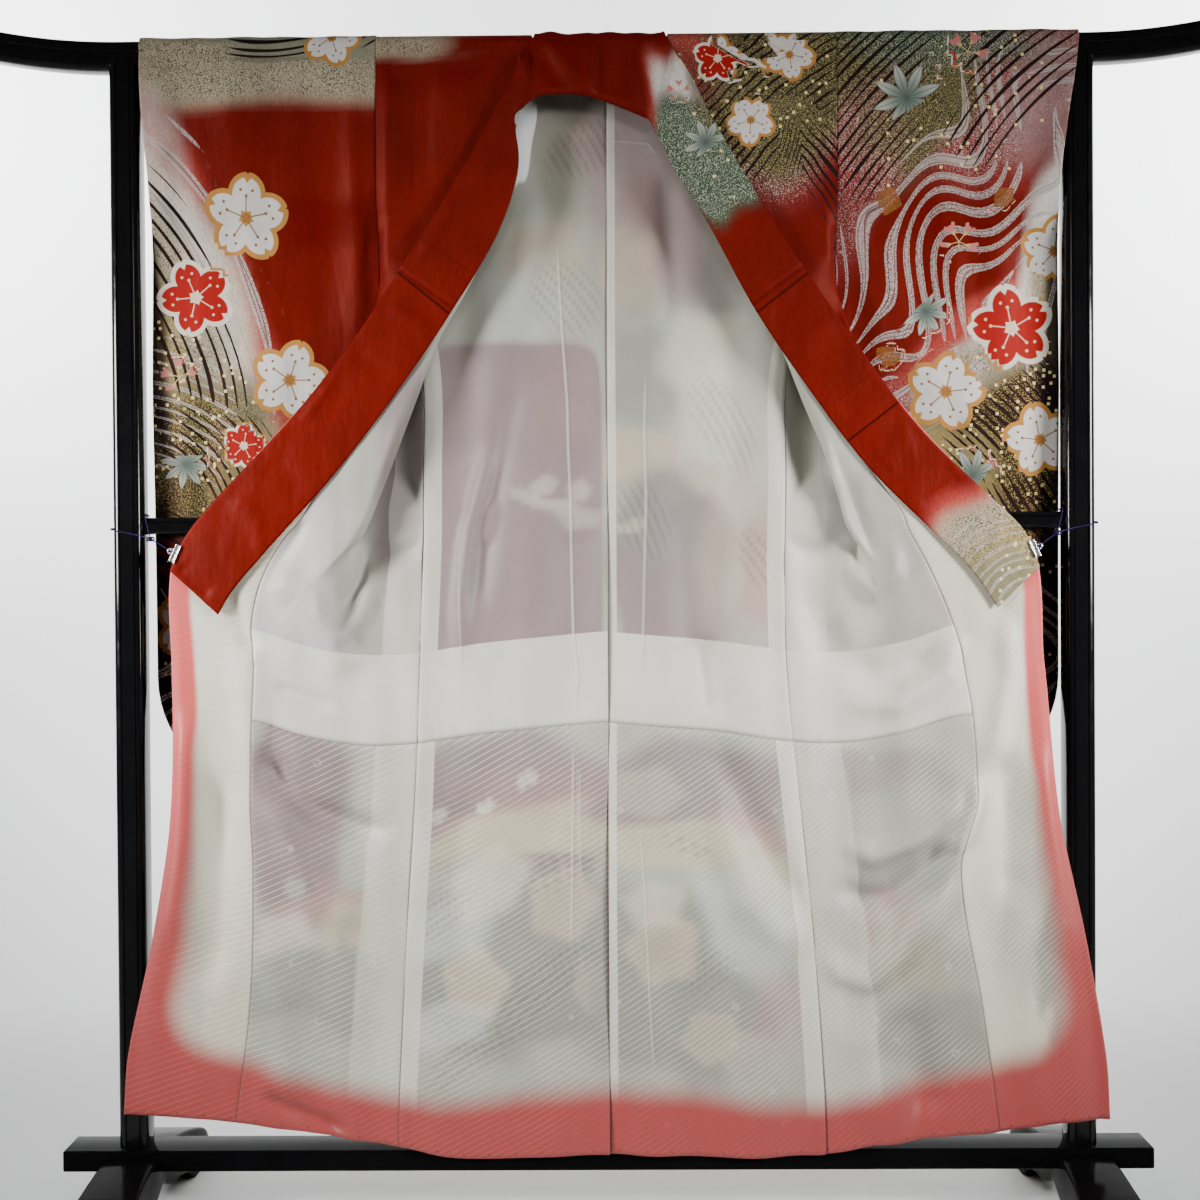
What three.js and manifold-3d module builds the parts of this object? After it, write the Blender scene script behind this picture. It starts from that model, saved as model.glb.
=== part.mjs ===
// A furisode opened over a lacquered kimono stand, millimetres, +Z up, the viewer on the -Y side.
// Origin: on the floor under the middle of the stand. Left and right are the viewer's.
import * as THREE from "three";
import { mergeVertices } from "three/addons/utils/BufferGeometryUtils.js";
import Module from "manifold-3d";

const wasm = await Module();
wasm.setup();

// Driving dimensions of the cloth.
const seamGap = 0.3; // between two pieces that are sewn together
const outerCloth = 1.3; // wall of the outer silk
const liningCloth = 1.2; // wall of the lining silk
const layerGap = 0.4; // between the outer silk and its lining
const bandCloth = 1.5; // wall of the folded collar band
const sleeveSeam = { left: 319, right: 337 }; // armhole seam, out from the middle of the stand
const neckHalf = 97; // half of the neck opening on the shoulder line
const centreTop = 9; // the back seam hangs a little to the right of the stand's middle
const centreHem = 4.5;
const overlapTip = 1463; // height of the pointed upper end of the overlap panels
const overlapTaper = 0.325; // overlap width gained for each millimetre below its tip
const pleatEnd = 965; // below this the pleats of the fronts have opened and spread out
const overlapJoin = 1002; // below this the overlap seam is free of the turned collar
const liningSeam = 700; // mean height of the seam between upper lining and skirt lining
const foldSteps = 3; // flat facets in the half turn of a pleat
const gatherStep = 4; // spacing of the front pleat's facets where it starts at the neck
const spread = { depth: 260, first: 15, share: 0.46 }; // how the fronts flatten below the pleats
const backWave = { depth: 3.5, top: 1600, foot: 150, fade: 300, halfTurns: 3 }; // soft waves of the back
const lowestRow = 100; // height of the sheets' lowest row before the hem's own curve is added
const hemReach = 600; // the hem's curve fades out up to this height
const seamReach = 150; // the lining seam's curve fades out this far above and below it
const neckNarrowing = 9; // the neck opening closes in this much towards the back of the neck
const backDrop = 1690; // height whose back section is laid over the rail
const sleeveBottom = 625;
const sleeveCorner = 160; // radius of the rounded lower corner
const wristEnd = 1470; // the sleeve's outer edge is closed below this
const collarBelly = { depth: 3.5, turns: 0.3 }; // the folded collar bulges forward across its width
const collarNeck = { from: 1680, depth: 23.4, lean: 9, free: 34 }; // where the collar hangs from the rail
const collarSettle = { from: 1560, over: 80, depth: 37 }; // above this it comes back to the neck
const coverRows = 6; // collar sections outside the two cross seams, at each end

// Driving dimensions of the stand.
const railTop = 1700;
const railHeight = 42;
const railDepth = 38;
const railEdge = 7; // bevel along the rail
const railHalf = 920;
const railRiseFrom = 690; // outside this the ends sweep up
const railRise = 5.55e-4; // rise = railRise * (distance outside railRiseFrom)^2
const postX = 682;
const postWidth = 42;
const postEdge = 9;
const postTop = 1678;
const middleRail = { bottom: 994, top: 1018, depth: 24, edge: 6 };
const beam = { bottom: 80, top: 110, depth: 66, half: 780, edge: 3 };
const foot = { width: 78, depth: 466, crown: 98, shoulder: 94, toe: 44, toeRound: 26, pad: 74 };
const arch = { rise: 46, cusp: 54, waist: 0.62, spring: 0.75, springIn: 34, waistIn: 92, cuspIn: 26 };
const fit = 0.3; // clearance in the stand's joints

// Colours.
const silkRed = new THREE.Color("#a81f0e");
const sleevePrint = new THREE.Color("#6f4a38");
const liningWhite = new THREE.Color("#d9d8cf");
const skirtRose = new THREE.Color("#dfa79b");
const lacquer = new THREE.Color("#0a0a0b");
const steel = new THREE.Color("#d8d8da");
const cordViolet = new THREE.Color("#35195e");

const part = new THREE.Group();

function addMesh(name, geometry, colour, roughness, metalness = 0) {
  const material = new THREE.MeshStandardMaterial({ color: colour, roughness, metalness });
  const mesh = new THREE.Mesh(geometry, material);
  mesh.name = name;
  part.add(mesh);
  return mesh;
}

// Tables.
// A table row holds a height and the values at it; between rows every value follows a smooth cubic.
function smoothTable(rows) {
  const sorted = [...rows].sort((a, b) => a[0] - b[0]);
  const slope = (i, c) => {
    const low = sorted[Math.max(i - 1, 0)];
    const high = sorted[Math.min(i + 1, sorted.length - 1)];
    return (high[c] - low[c]) / (high[0] - low[0]);
  };
  return (at, column) => {
    const t = Math.min(Math.max(at, sorted[0][0]), sorted.at(-1)[0]);
    let i = sorted.findIndex((row) => row[0] > t) - 1;
    if (i < 0) i = sorted.length - 2;
    const span = sorted[i + 1][0] - sorted[i][0];
    const s = (t - sorted[i][0]) / span;
    const s2 = s * s;
    const s3 = s2 * s;
    return (
      (2 * s3 - 3 * s2 + 1) * sorted[i][column] +
      (s3 - 2 * s2 + s) * span * slope(i, column) +
      (3 * s2 - 2 * s3) * sorted[i + 1][column] +
      (s3 - s2) * span * slope(i + 1, column)
    );
  };
}

// Each front is one sheet from its side seam: out to a back pleat, in to a front pleat, out to the edge.
// height, side seam, back pleat, front pleat, front edge (out from the middle)
const frontRows = {
  left: [
    [1702, 319, 319, 97, 97],
    [1640, 319, 319, 108, 121],
    [1565, 319, 319, 120, 162],
    [1464, 317, 319, 142, 221],
    [1363, 283, 317, 178, 287],
    [1265, 262, 337, 232, 352],
    [1187, 255, 344, 262, 413],
    [1082, 256, 352, 302, 509],
    [990, 256, 362, 339, 590],
    [938, 258, 382, 366, 613],
    [800, 264, 390, 380, 613],
    [612, 271, 390, 380, 615],
    [400, 284, 400, 390, 643],
    [200, 294, 410, 400, 681],
    [100, 297, 415, 405, 688],
  ],
  right: [
    [1702, 337, 337, 97, 97],
    [1640, 337, 337, 106, 126],
    [1565, 337, 337, 125, 165],
    [1464, 333, 337, 154, 223],
    [1363, 300, 335, 198, 287],
    [1265, 272, 360, 250, 354],
    [1187, 262, 371, 281, 408],
    [1082, 262, 376, 323, 500],
    [990, 260, 372, 348, 593],
    [938, 259, 384, 370, 615],
    [800, 262, 392, 382, 622],
    [612, 278, 400, 390, 639],
    [400, 297, 410, 400, 679],
    [200, 309, 420, 410, 709],
    [100, 312, 425, 415, 714],
  ],
};
// The free stretch of the overlap seam: height, distance out.
const overlapRows = {
  left: [
    [1002, 442],
    [935, 481],
    [860, 500],
    [800, 496],
    [612, 503],
    [503, 500],
    [300, 506],
    [100, 528],
  ],
  right: [
    [1002, 426],
    [935, 462],
    [860, 494],
    [800, 507],
    [612, 528],
    [503, 504],
    [300, 533],
    [100, 558],
  ],
};
// Depths: height, back and side, middle layer, front layer.
const depthRows = [
  [1680, 21.8, -21.8, -23],
  [1640, 23.5, -23.5, -33],
  [1565, 21, -25, -34],
  [1464, 16, -25, -37],
  [1363, 2, -26, -38],
  [1265, -3, -26, -40],
  [1187, -6, -27, -43],
  [1082, -12, -28, -46],
  [1000, -18, -32, -48],
  [938, -19, -33, -47],
  [800, -22, -33, -44],
  [500, -30, -36, -42],
  [100, -42, -42, -43],
];
// Hem height: distance out, height.
const hemRows = {
  left: [
    [0, 106],
    [126, 102],
    [190, 101],
    [240, 106],
    [296, 118],
    [380, 132],
    [526, 154],
    [608, 162],
    [690, 167],
  ],
  right: [
    [0, 106],
    [100, 104],
    [215, 101],
    [312, 106],
    [380, 117],
    [485, 131],
    [556, 137],
    [640, 149],
    [716, 155],
  ],
};
// Lining seam: distance out, height above or below its mean height.
const liningSeamRows = [
  [0, 21],
  [175, 5],
  [265, -8],
  [345, -10],
  [430, 6],
  [500, 28],
  [620, 34],
];
// How far each pleat is folded: height, back pleat, front pleat (0 flat, 1 folded).
const pleatRows = [
  [1702, 0, 0],
  [1680, 0, 0],
  [1660, 0, 0.6],
  [1640, 0, 1],
  [1464, 0, 1],
  [1432, 0.16, 1],
  [1400, 0.5, 1],
  [1370, 0.85, 1],
  [1340, 1, 1],
  [1010, 1, 1],
  [990, 0.92, 0.92],
  [965, 0.45, 0.45],
  [940, 0.1, 0.1],
  [920, 0, 0],
  [100, 0, 0],
];

const depthAt = smoothTable(depthRows);
const pleatAt = smoothTable(pleatRows);
const seamLift = smoothTable(liningSeamRows);
const clamp01 = (v) => Math.min(Math.max(v, 0), 1);
const mix = (a, b, t) => a + (b - a) * t;

// The path of cloth over the top rail, from the front face to the back face: depth, height.
const overRail = [
  [-21.4, 1694],
  [-13, 1702.4],
  [0, 1702.7],
  [6, 1702.6],
  [13, 1702.4],
  [21.4, 1694],
];
const neckRow = 3; // the back of the neck is sewn along this row of overRail

const frontColumns = 2 + (foldSteps + 1) + 1 + (foldSteps + 1) + 2; // up to the overlap seam
const overlapColumns = 2;
const lastBody = frontColumns - 1;
const lastColumn = lastBody + overlapColumns;

// The sheet's side edge as the back pleat closes: it leaves the middle layer outwards and curls to the back.
// `turn` runs from 0, flat, to 1, a full half turn; `tail` is the flat stretch past the full turn.
function curl(centre, yStart, radius, turn, tail) {
  const angle = Math.PI * turn;
  const arc = angle * radius;
  const full = mix(radius, Math.PI * radius + tail, turn);
  const cap = (radius * (1 - Math.sin(angle))) / Math.max(Math.cos(angle), 1e-3);
  const rest = angle < Math.PI / 2 - 0.05 ? Math.min(full - arc, cap) : full - arc;
  const whole = Math.PI * radius + tail;
  const stations = [whole, whole - tail / 2];
  for (let i = foldSteps; i >= 0; i -= 1) stations.push((Math.PI * radius * i) / foldSteps);
  return stations.map((station) => {
    const along = (station / whole) * (arc + rest);
    const part = Math.min(along, arc) / radius;
    const past = Math.max(along - arc, 0);
    const x = centre + radius * Math.sin(part) + past * Math.cos(part);
    const y = yStart + radius * (1 - Math.cos(part)) + past * Math.sin(part);
    return [x, y];
  });
}

// One cross-section of a front: distances out and depths, from the side seam to the front edge.
function frontSection(side, height) {
  const table = smoothTable(frontRows[side]);
  const at = (column) => table(height, column);
  const [seam, backPleat, frontPleat, edge] = [at(1), at(2), at(3), at(4)];
  const [yBack, yMiddle, yFront] = [1, 2, 3].map((column) => depthAt(height, column));
  const folded = [clamp01(pleatAt(height, 1)), clamp01(pleatAt(height, 2))];
  const overlapWidth = Math.max((overlapTip - height) * overlapTaper, 2);
  const overlap =
    height > overlapJoin ? edge - overlapWidth : smoothTable(overlapRows[side])(height, 1);
  const r1 = Math.max((yBack - yMiddle) / 2, 1);
  const r2 = Math.max((yMiddle - yFront) / 2, 1);
  const halfTurn = (x, y, radius, outward) =>
    Array.from({ length: foldSteps + 1 }, (_, i) => {
      const angle = (Math.PI * i) / foldSteps;
      return [x + outward * radius * Math.sin(angle), y + radius * Math.cos(angle)];
    });
  const outCentre = backPleat - r1;
  const inCentre = Math.min(frontPleat + r2, outCentre + 4);
  const above = height > overlapJoin;
  const closing = above ? folded[0] : 1;
  const pleated = [
    ...curl(outCentre, yMiddle, r1, closing, Math.max(outCentre - seam, 2)),
    [(outCentre + inCentre) / 2, yMiddle],
    ...halfTurn(inCentre, (yMiddle + yFront) / 2, r2, -1),
    [(inCentre + overlap) / 2, yFront],
    [overlap, yFront],
  ];
  // Above the side seam the front hangs straight from the shoulder; below the pleats it spreads flat.
  const inner = frontColumns - 1;
  const middle = pleated[2 + foldSteps + 1];
  const plain = pleated.map((_, i) => {
    const share = i / inner;
    if (!above) {
      const open = clamp01((pleatEnd - height) / spread.depth);
      const reach = mix(spread.first, spread.share * (overlap - seam), open * (2 - open));
      const centre = mix((backPleat + frontPleat) / 2, (seam + overlap) / 2, open);
      const at = clamp01((i - 1) / (inner - 2));
      const eased = at * at * (3 - 2 * at);
      const x = i === 0 ? seam : i === inner ? overlap : centre + reach * (2 * at - 1);
      return [x, mix(yBack, yFront, eased)];
    }
    if (i <= 2 + foldSteps) return pleated[i];
    const fromEdge = inner - i;
    if (fromEdge > foldSteps + 2) return [(middle[0] + overlap) / 2, yMiddle];
    return [overlap + fromEdge * gatherStep, yMiddle];
  });
  const section = pleated.map((point, i) => {
    const presence = folded[1];
    return [mix(plain[i][0], point[0], presence), mix(plain[i][1], point[1], presence)];
  });
  const last = section[inner];
  for (let i = 1; i <= overlapColumns; i += 1) {
    section.push([mix(last[0], edge, i / overlapColumns), last[1]]);
  }
  return section;
}

// One cross-section of a back: from the side seam to the centre seam, with soft upright waves.
const backShares = [0, 0.17, 0.38, 0.62, 0.83, 1];
function backSection(side, height) {
  const seam = smoothTable(frontRows[side])(height, 1);
  const sign = side === "left" ? -1 : 1;
  const centre = sign * mix(centreHem, centreTop, height / railTop);
  const below = clamp01((backWave.top - height) / backWave.fade);
  const above = clamp01((height - backWave.foot) / backWave.fade);
  const wave = -sign * backWave.depth * below * above;
  return backShares.map((share) => {
    const y = depthAt(height, 1) + wave * Math.sin(share * Math.PI * backWave.halfTurns);
    return [mix(seam, centre, share), y];
  });
}

// Heights of the sheets' rows.
const frontHeights = [
  lowestRow, 300, 503, 612, liningSeam, 800, 880, 930, 965, 990, 1090, 1210, 1340, 1380, 1425, 1464,
];
const shoulderHeights = [1565, 1640, 1660, 1680];
const backHeights = [
  1640, 1464, 1425, 1380, 1340, 1210, 1090, 990, 930, 880, 800, liningSeam, 612, 503, 300, lowestRow,
];

// Height of a point once the curves of the hem and of the lining seam are added.
function settled(side, out, height) {
  const hem = smoothTable(hemRows[side])(Math.abs(out), 1);
  const share = clamp01((hemReach - height) / (hemReach - lowestRow));
  const seamShare = clamp01(1 - Math.abs(height - liningSeam) / seamReach);
  return height + (hem - lowestRow) * share + seamLift(Math.abs(out), 1) * seamShare;
}

// Sheets and walls.
// A sheet is a list of points, a list of tagged triangles and a normal at each point.
function newSheet() {
  return { points: [], faces: [], normals: [] };
}

function addPoint(sheet, x, y, z) {
  sheet.points.push(new THREE.Vector3(x, y, z));
  return sheet.points.length - 1;
}

// Triangles between two rows of point numbers whose ends lie side by side, in step with their length.
function stitch(sheet, lower, upper, tagOf) {
  const share = (row) => {
    const lengths = [0];
    for (let i = 1; i < row.length; i += 1) {
      lengths.push(lengths[i - 1] + sheet.points[row[i]].distanceTo(sheet.points[row[i - 1]]));
    }
    return lengths.map((value) => value / lengths.at(-1));
  };
  if (lower.length === upper.length) {
    for (let i = 0; i + 1 < lower.length; i += 1) {
      const tag = tagOf(i);
      sheet.faces.push({ corners: [lower[i], lower[i + 1], upper[i + 1]], tag });
      sheet.faces.push({ corners: [lower[i], upper[i + 1], upper[i]], tag });
    }
    return;
  }
  const [a, b] = [share(lower), share(upper)];
  let [i, j] = [0, 0];
  while (i + 1 < lower.length || j + 1 < upper.length) {
    const stepLower = j + 1 >= upper.length || (i + 1 < lower.length && a[i + 1] <= b[j + 1]);
    if (stepLower) {
      sheet.faces.push({ corners: [lower[i], lower[i + 1], upper[j]], tag: tagOf(i) });
      i += 1;
    } else {
      sheet.faces.push({ corners: [lower[i], upper[j + 1], upper[j]], tag: tagOf(i) });
      j += 1;
    }
  }
}

function finishSheet(sheet, flip) {
  if (flip) sheet.faces.forEach((face) => face.corners.reverse());
  sheet.normals = sheet.points.map(() => new THREE.Vector3());
  for (const { corners } of sheet.faces) {
    const [a, b, c] = corners.map((i) => sheet.points[i]);
    const normal = b.clone().sub(a).cross(c.clone().sub(a)).normalize();
    corners.forEach((i, order) => {
      const toNext = sheet.points[corners[(order + 1) % 3]].clone().sub(sheet.points[i]);
      const toLast = sheet.points[corners[(order + 2) % 3]].clone().sub(sheet.points[i]);
      sheet.normals[i].addScaledVector(normal, toNext.angleTo(toLast));
    });
  }
  sheet.normals.forEach((normal) => normal.normalize());
  return sheet;
}

// A closed wall on the picked faces of a sheet, from one offset to another along its normals.
// Its border is drawn in by half a seam gap.
function wall(sheet, pick, from, to) {
  const faces = sheet.faces.filter((face) => pick(face.tag)).map((face) => face.corners);
  const directed = new Set();
  faces.forEach(([a, b, c]) => {
    [[a, b], [b, c], [c, a]].forEach(([p, q]) => directed.add(p + ">" + q));
  });
  const border = [...directed]
    .map((edge) => edge.split(">").map(Number))
    .filter(([p, q]) => !directed.has(q + ">" + p));
  const inward = new Map();
  for (const [p, q] of border) {
    const along = sheet.points[q].clone().sub(sheet.points[p]);
    for (const i of [p, q]) {
      const step = sheet.normals[i].clone().cross(along).normalize();
      inward.set(i, [...(inward.get(i) ?? []), step]);
    }
  }
  const moved = (i) => {
    const point = sheet.points[i].clone();
    const steps = inward.get(i);
    if (!steps) return point;
    const sum = steps.reduce((total, step) => total.add(step), new THREE.Vector3());
    const reach = Math.max(sum.lengthSq() / steps.length, 0.5);
    return point.addScaledVector(sum, seamGap / 2 / reach);
  };
  const used = [...new Set(faces.flat())];
  const index = new Map(used.map((i, order) => [i, order]));
  const positions = [];
  for (const offset of [from, to]) {
    for (const i of used) {
      const point = moved(i).addScaledVector(sheet.normals[i], offset);
      positions.push(point.x, point.y, point.z);
    }
  }
  const near = (i) => index.get(i);
  const far = (i) => index.get(i) + used.length;
  const triangles = [];
  for (const [a, b, c] of faces) {
    triangles.push(far(a), far(b), far(c), near(c), near(b), near(a));
  }
  for (const [p, q] of border) {
    triangles.push(near(p), near(q), far(q), near(p), far(q), far(p));
  }
  const geometry = new THREE.BufferGeometry();
  geometry.setAttribute("position", new THREE.Float32BufferAttribute(positions, 3));
  geometry.setIndex(triangles);
  return geometry;
}

// Body: front, overlap and back of one side in one sheet.
function bodySheet(side) {
  const sign = side === "left" ? -1 : 1;
  const sheet = newSheet();
  const row = (section, height) =>
    section.map(([out, y]) => addPoint(sheet, sign * out, y, settled(side, out, height)));
  const tag = (zone, column) => (column < lastBody ? "body " : "overlap ") + zone;
  const zoneOf = (height) => (height < liningSeam ? "skirt front" : "upper front");
  let last = null;
  let lastHeight = 0;
  for (const height of [...frontHeights, ...shoulderHeights]) {
    const section = frontSection(side, height);
    const kept = height > overlapTip ? section.slice(0, frontColumns) : section;
    const next = row(kept, height);
    if (last) {
      const zone = zoneOf(lastHeight);
      const width = Math.min(last.length, next.length);
      stitch(sheet, last.slice(0, width), next.slice(0, width), (column) => tag(zone, column));
    }
    last = next;
    lastHeight = height;
  }
  // Over the rail the sheet spans from the armhole seam to the neck.
  const seam = sleeveSeam[side];
  const shoulder = frontSection(side, shoulderHeights.at(-1)).slice(0, frontColumns);
  const shares = shoulder.map(([out]) => (seam - out) / (seam - shoulder[lastBody][0]));
  let backRow = null;
  overRail.forEach(([y, z], order) => {
    const neck = neckHalf - neckNarrowing * clamp01((y + 5) / 12);
    const next = shares.map((share) => addPoint(sheet, sign * mix(seam, neck, share), y, z));
    if (order > neckRow) {
      // Past the back of the neck the sheet reaches the centre seam, on fewer columns.
      const wide = backSection(side, backDrop).map(([out]) => addPoint(sheet, sign * out, y, z));
      stitch(sheet, backRow ?? last, wide, () => "body upper back");
      last = wide;
      backRow = wide;
      return;
    }
    stitch(sheet, last, next, () => "body upper front");
    last = next;
    if (order === neckRow) {
      const centre = sign * mix(centreHem, centreTop, 1);
      const toCentre = (share) => addPoint(sheet, sign * mix(neck, centre, share), y, z);
      const inside = [toCentre(0.5), toCentre(1)];
      last = [...next, ...inside];
    }
  });
  lastHeight = railTop;
  for (const height of backHeights) {
    const next = row(backSection(side, height), height);
    const zone = lastHeight > liningSeam ? "upper back" : "skirt back";
    stitch(sheet, last, next, () => "body " + zone);
    last = next;
    lastHeight = height;
  }
  return finishSheet(sheet, side === "right");
}

const outerSpan = [0, outerCloth];
const liningSpan = [-layerGap - liningCloth, -layerGap];
for (const side of ["left", "right"]) {
  const sheet = bodySheet(side);
  const isBody = (tag) => tag.startsWith("body");
  const cut = (pick, span) => wall(sheet, pick, ...span);
  addMesh("body_" + side, cut(isBody, outerSpan), silkRed, 0.5);
  addMesh("okumi_" + side, cut((tag) => !isBody(tag), outerSpan), silkRed, 0.5);
  const isUpper = (tag) => tag.includes("upper");
  const linings = {
    ["lining_" + side]: (tag) => isBody(tag) && isUpper(tag),
    ["lining_okumi_" + side]: (tag) => tag === "overlap upper front",
    ["hakkake_front_" + side]: (tag) => tag === "body skirt front",
    ["hakkake_back_" + side]: (tag) => tag === "body skirt back",
    ["hakkake_okumi_" + side]: (tag) => tag === "overlap skirt front",
  };
  for (const [name, pick] of Object.entries(linings)) {
    const colour = name.startsWith("lining") ? liningWhite : skirtRose;
    addMesh(name, cut(pick, liningSpan), colour, 0.55);
  }
}

// Collar.
// Turned back over the fronts: seam edge x, z and free edge x, z of each section, from the end upwards.
const collarRows = {
  left: [
    [-613, 941, -544, 878],
    [-590, 990, -520, 916],
    [-543, 1046, -463, 981],
    [-438, 1157, -369, 1086],
    [-352, 1265, -277, 1208],
    [-287, 1363, -209, 1308],
    [-221, 1464, -145, 1414],
    [-162, 1565, -115, 1508],
    [-121, 1640, -121, 1575],
    [-109, 1663, -108, 1592],
    [-103, 1682, -98, 1602],
  ],
  right: [
    [615, 939, 555, 881],
    [593, 990, 520, 932],
    [546, 1038, 472, 982],
    [445, 1138, 372, 1083],
    [354, 1265, 283, 1204],
    [287, 1363, 214, 1309],
    [223, 1464, 151, 1427],
    [165, 1565, 104, 1503],
    [126, 1640, 92, 1530],
    [111, 1663, 81, 1550],
    [104, 1682, 75, 1564],
  ],
};
// Round the neck: seam edge x, where its seam lies on the path over the rail, and free edge x, z.
const neckRows = [
  [-96, 3, -94, 1605],
  [-94, 2, -90, 1607],
  [-91, 1, -85, 1609],
  [-82, 0, -72, 1611],
  [-9, 0, -9, 1606],
  [78, 0, 62, 1578],
  [91, 1, 70, 1573],
  [94, 2, 72, 1570],
  [96, 3, 73, 1568],
];
// The collar's way forward over the rail from the back of the neck: depth, height.
const neckPath = [
  [5.8, 1702.7],
  [-13, 1702.7],
  [-18.5, 1699.8],
  [-22, 1693],
  [-24, 1682],
  [-30, 1650],
];
const collarLift = liningCloth + layerGap + 0.8; // the band lies on the lining of the front under it
const collarShares = [0, 0.25, 0.5, 0.75, 1];

// Points across the collar from its seam to its free edge.
function collarSection([seamX, seamZ, freeX, freeZ]) {
  const high = seamZ > collarNeck.from;
  const nearNeck = clamp01((seamZ - collarSettle.from) / collarSettle.over);
  const resting = Math.min(depthAt(seamZ, 3) - collarLift, -collarSettle.depth * nearNeck);
  const seamDepth = high ? -collarNeck.depth : resting;
  return collarShares.map((share) => {
    const belly = collarBelly.depth * Math.sin(share * 2 * Math.PI * collarBelly.turns);
    const depth = seamDepth - belly - (high ? collarNeck.lean * share : 0);
    return [mix(seamX, freeX, share), depth, mix(seamZ, freeZ, share)];
  });
}

function neckSection([seamX, start, freeX, freeZ]) {
  const points = collarShares.slice(0, -1).map((share) => {
    const place = mix(start, neckPath.length - 1, share);
    const before = Math.min(Math.floor(place), neckPath.length - 2);
    const [from, to] = [neckPath[before], neckPath[before + 1]];
    const [y, z] = [0, 1].map((column) => mix(from[column], to[column], place - before));
    return [mix(seamX, freeX, share), y, z];
  });
  return [...points, [freeX, -collarNeck.free, freeZ]];
}

function collarSheet(lift) {
  const sheet = newSheet();
  const sections = [
    ...collarRows.left.map(collarSection),
    ...neckRows.map(neckSection),
    ...collarRows.right.map(collarSection).reverse(),
  ];
  let last = null;
  sections.forEach((points, order) => {
    const next = points.map(([x, y, z]) => addPoint(sheet, x, y, z));
    const covered = order >= coverRows && order <= sections.length - coverRows;
    if (last) stitch(sheet, last, next, () => (covered ? "covered" : "bare"));
    last = next;
  });
  finishSheet(sheet, false);
  sheet.points.forEach((point, i) => point.addScaledVector(sheet.normals[i], lift));
  return sheet;
}
const everything = () => true;
addMesh("collar_band", wall(collarSheet(0), everything, 0, bandCloth), silkRed, 0.5);
// The cover lies on the band between the two cross seams below the neck.
const coverSheet = collarSheet(bandCloth + layerGap);
addMesh("collar_cover", wall(coverSheet, (tag) => tag === "covered", 0, outerCloth), silkRed, 0.5);

// Sleeves.
// Outer edge: height, distance out.
const sleeveEdgeRows = {
  left: [
    [1702, 658],
    [1610, 656],
    [1470, 645],
    [1200, 648],
    [800, 647],
    [600, 647],
  ],
  right: [
    [1702, 682],
    [1650, 676],
    [1571, 664],
    [1480, 654],
    [1200, 656],
    [800, 656],
    [600, 656],
  ],
};
// Depth: height, front layer, back layer.
const sleeveDepth = smoothTable([
  [1680, -21.8, 21.8],
  [1655, -24, 24],
  [1571, -24, 24],
  [1480, -22, 24],
  [1440, -7, 24],
  [1405, 4, 24],
  [1363, 5.8, 24],
  [1265, 8, 25],
  [1187, 9, 26],
  [1020, 15.5, 31],
  [600, 18, 33],
]);
const sleeveHeights = [
  sleeveBottom, 633, 655, 700, 785, 950, 1020, 1120, 1250, 1363, 1405, 1440, wristEnd, 1571, 1655, 1680,
];
const sleeveShares = [0, 0.33, 0.67, 1];

function sleeveSheet(side) {
  const sign = side === "left" ? -1 : 1;
  const sheet = newSheet();
  const edgeAt = smoothTable(sleeveEdgeRows[side]);
  const outerEdge = (height) => {
    const drop = clamp01((sleeveBottom + sleeveCorner - height) / sleeveCorner);
    return edgeAt(height, 1) - sleeveCorner * (1 - Math.sqrt(Math.max(1 - drop * drop, 0)));
  };
  const layer = (height, column) =>
    sleeveShares.map((share) => {
      const out = mix(sleeveSeam[side], outerEdge(height), share);
      return addPoint(sheet, sign * out, sleeveDepth(height, column), height);
    });
  const front = sleeveHeights.map((height) => layer(height, 1));
  const back = sleeveHeights.map((height) => layer(height, 2));
  const top = overRail.map(([y, z]) =>
    sleeveShares.map((share) => {
      const out = mix(sleeveSeam[side], outerEdge(z), share);
      return addPoint(sheet, sign * out, y, z);
    }),
  );
  const rows = [...front, ...top, ...back.reverse()];
  for (let i = 1; i < rows.length; i += 1) stitch(sheet, rows[i - 1], rows[i], () => "sleeve");
  // The outer edge is closed below the wrist opening, and the bottom all along.
  back.reverse();
  const closed = sleeveHeights.filter((height) => height <= wristEnd).length;
  const frontEdge = front.slice(0, closed).map((row) => row.at(-1));
  const backEdge = back.slice(0, closed).map((row) => row.at(-1));
  stitch(sheet, frontEdge.reverse(), backEdge.reverse(), () => "sleeve");
  stitch(sheet, [...front[0]].reverse(), [...back[0]].reverse(), () => "sleeve");
  return finishSheet(sheet, side === "left");
}
for (const side of ["left", "right"]) {
  addMesh("sleeve_" + side, wall(sleeveSheet(side), everything, 0, outerCloth), sleevePrint, 0.5);
}

// Stand.
function closedLoft(rings) {
  const count = rings[0].length;
  const positions = rings.flat(2);
  const triangles = [];
  for (let r = 0; r + 1 < rings.length; r += 1) {
    for (let i = 0; i < count; i += 1) {
      const a = r * count + i;
      const b = r * count + ((i + 1) % count);
      triangles.push(a, b, b + count, a, b + count, a + count);
    }
  }
  const end = (rings.length - 1) * count;
  for (let i = 1; i + 1 < count; i += 1) {
    triangles.push(0, i + 1, i, end, end + i, end + i + 1);
  }
  const geometry = new THREE.BufferGeometry();
  geometry.setAttribute("position", new THREE.Float32BufferAttribute(positions, 3));
  geometry.setIndex(triangles);
  return geometry;
}

// A bevelled rectangle about the origin, counter-clockwise.
function bevelled(width, height, edge) {
  const [w, h] = [width / 2, height / 2];
  return [
    [w, -h + edge],
    [w, h - edge],
    [w - edge, h],
    [-w + edge, h],
    [-w, h - edge],
    [-w, -h + edge],
    [-w + edge, -h],
    [w - edge, -h],
  ];
}

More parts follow.
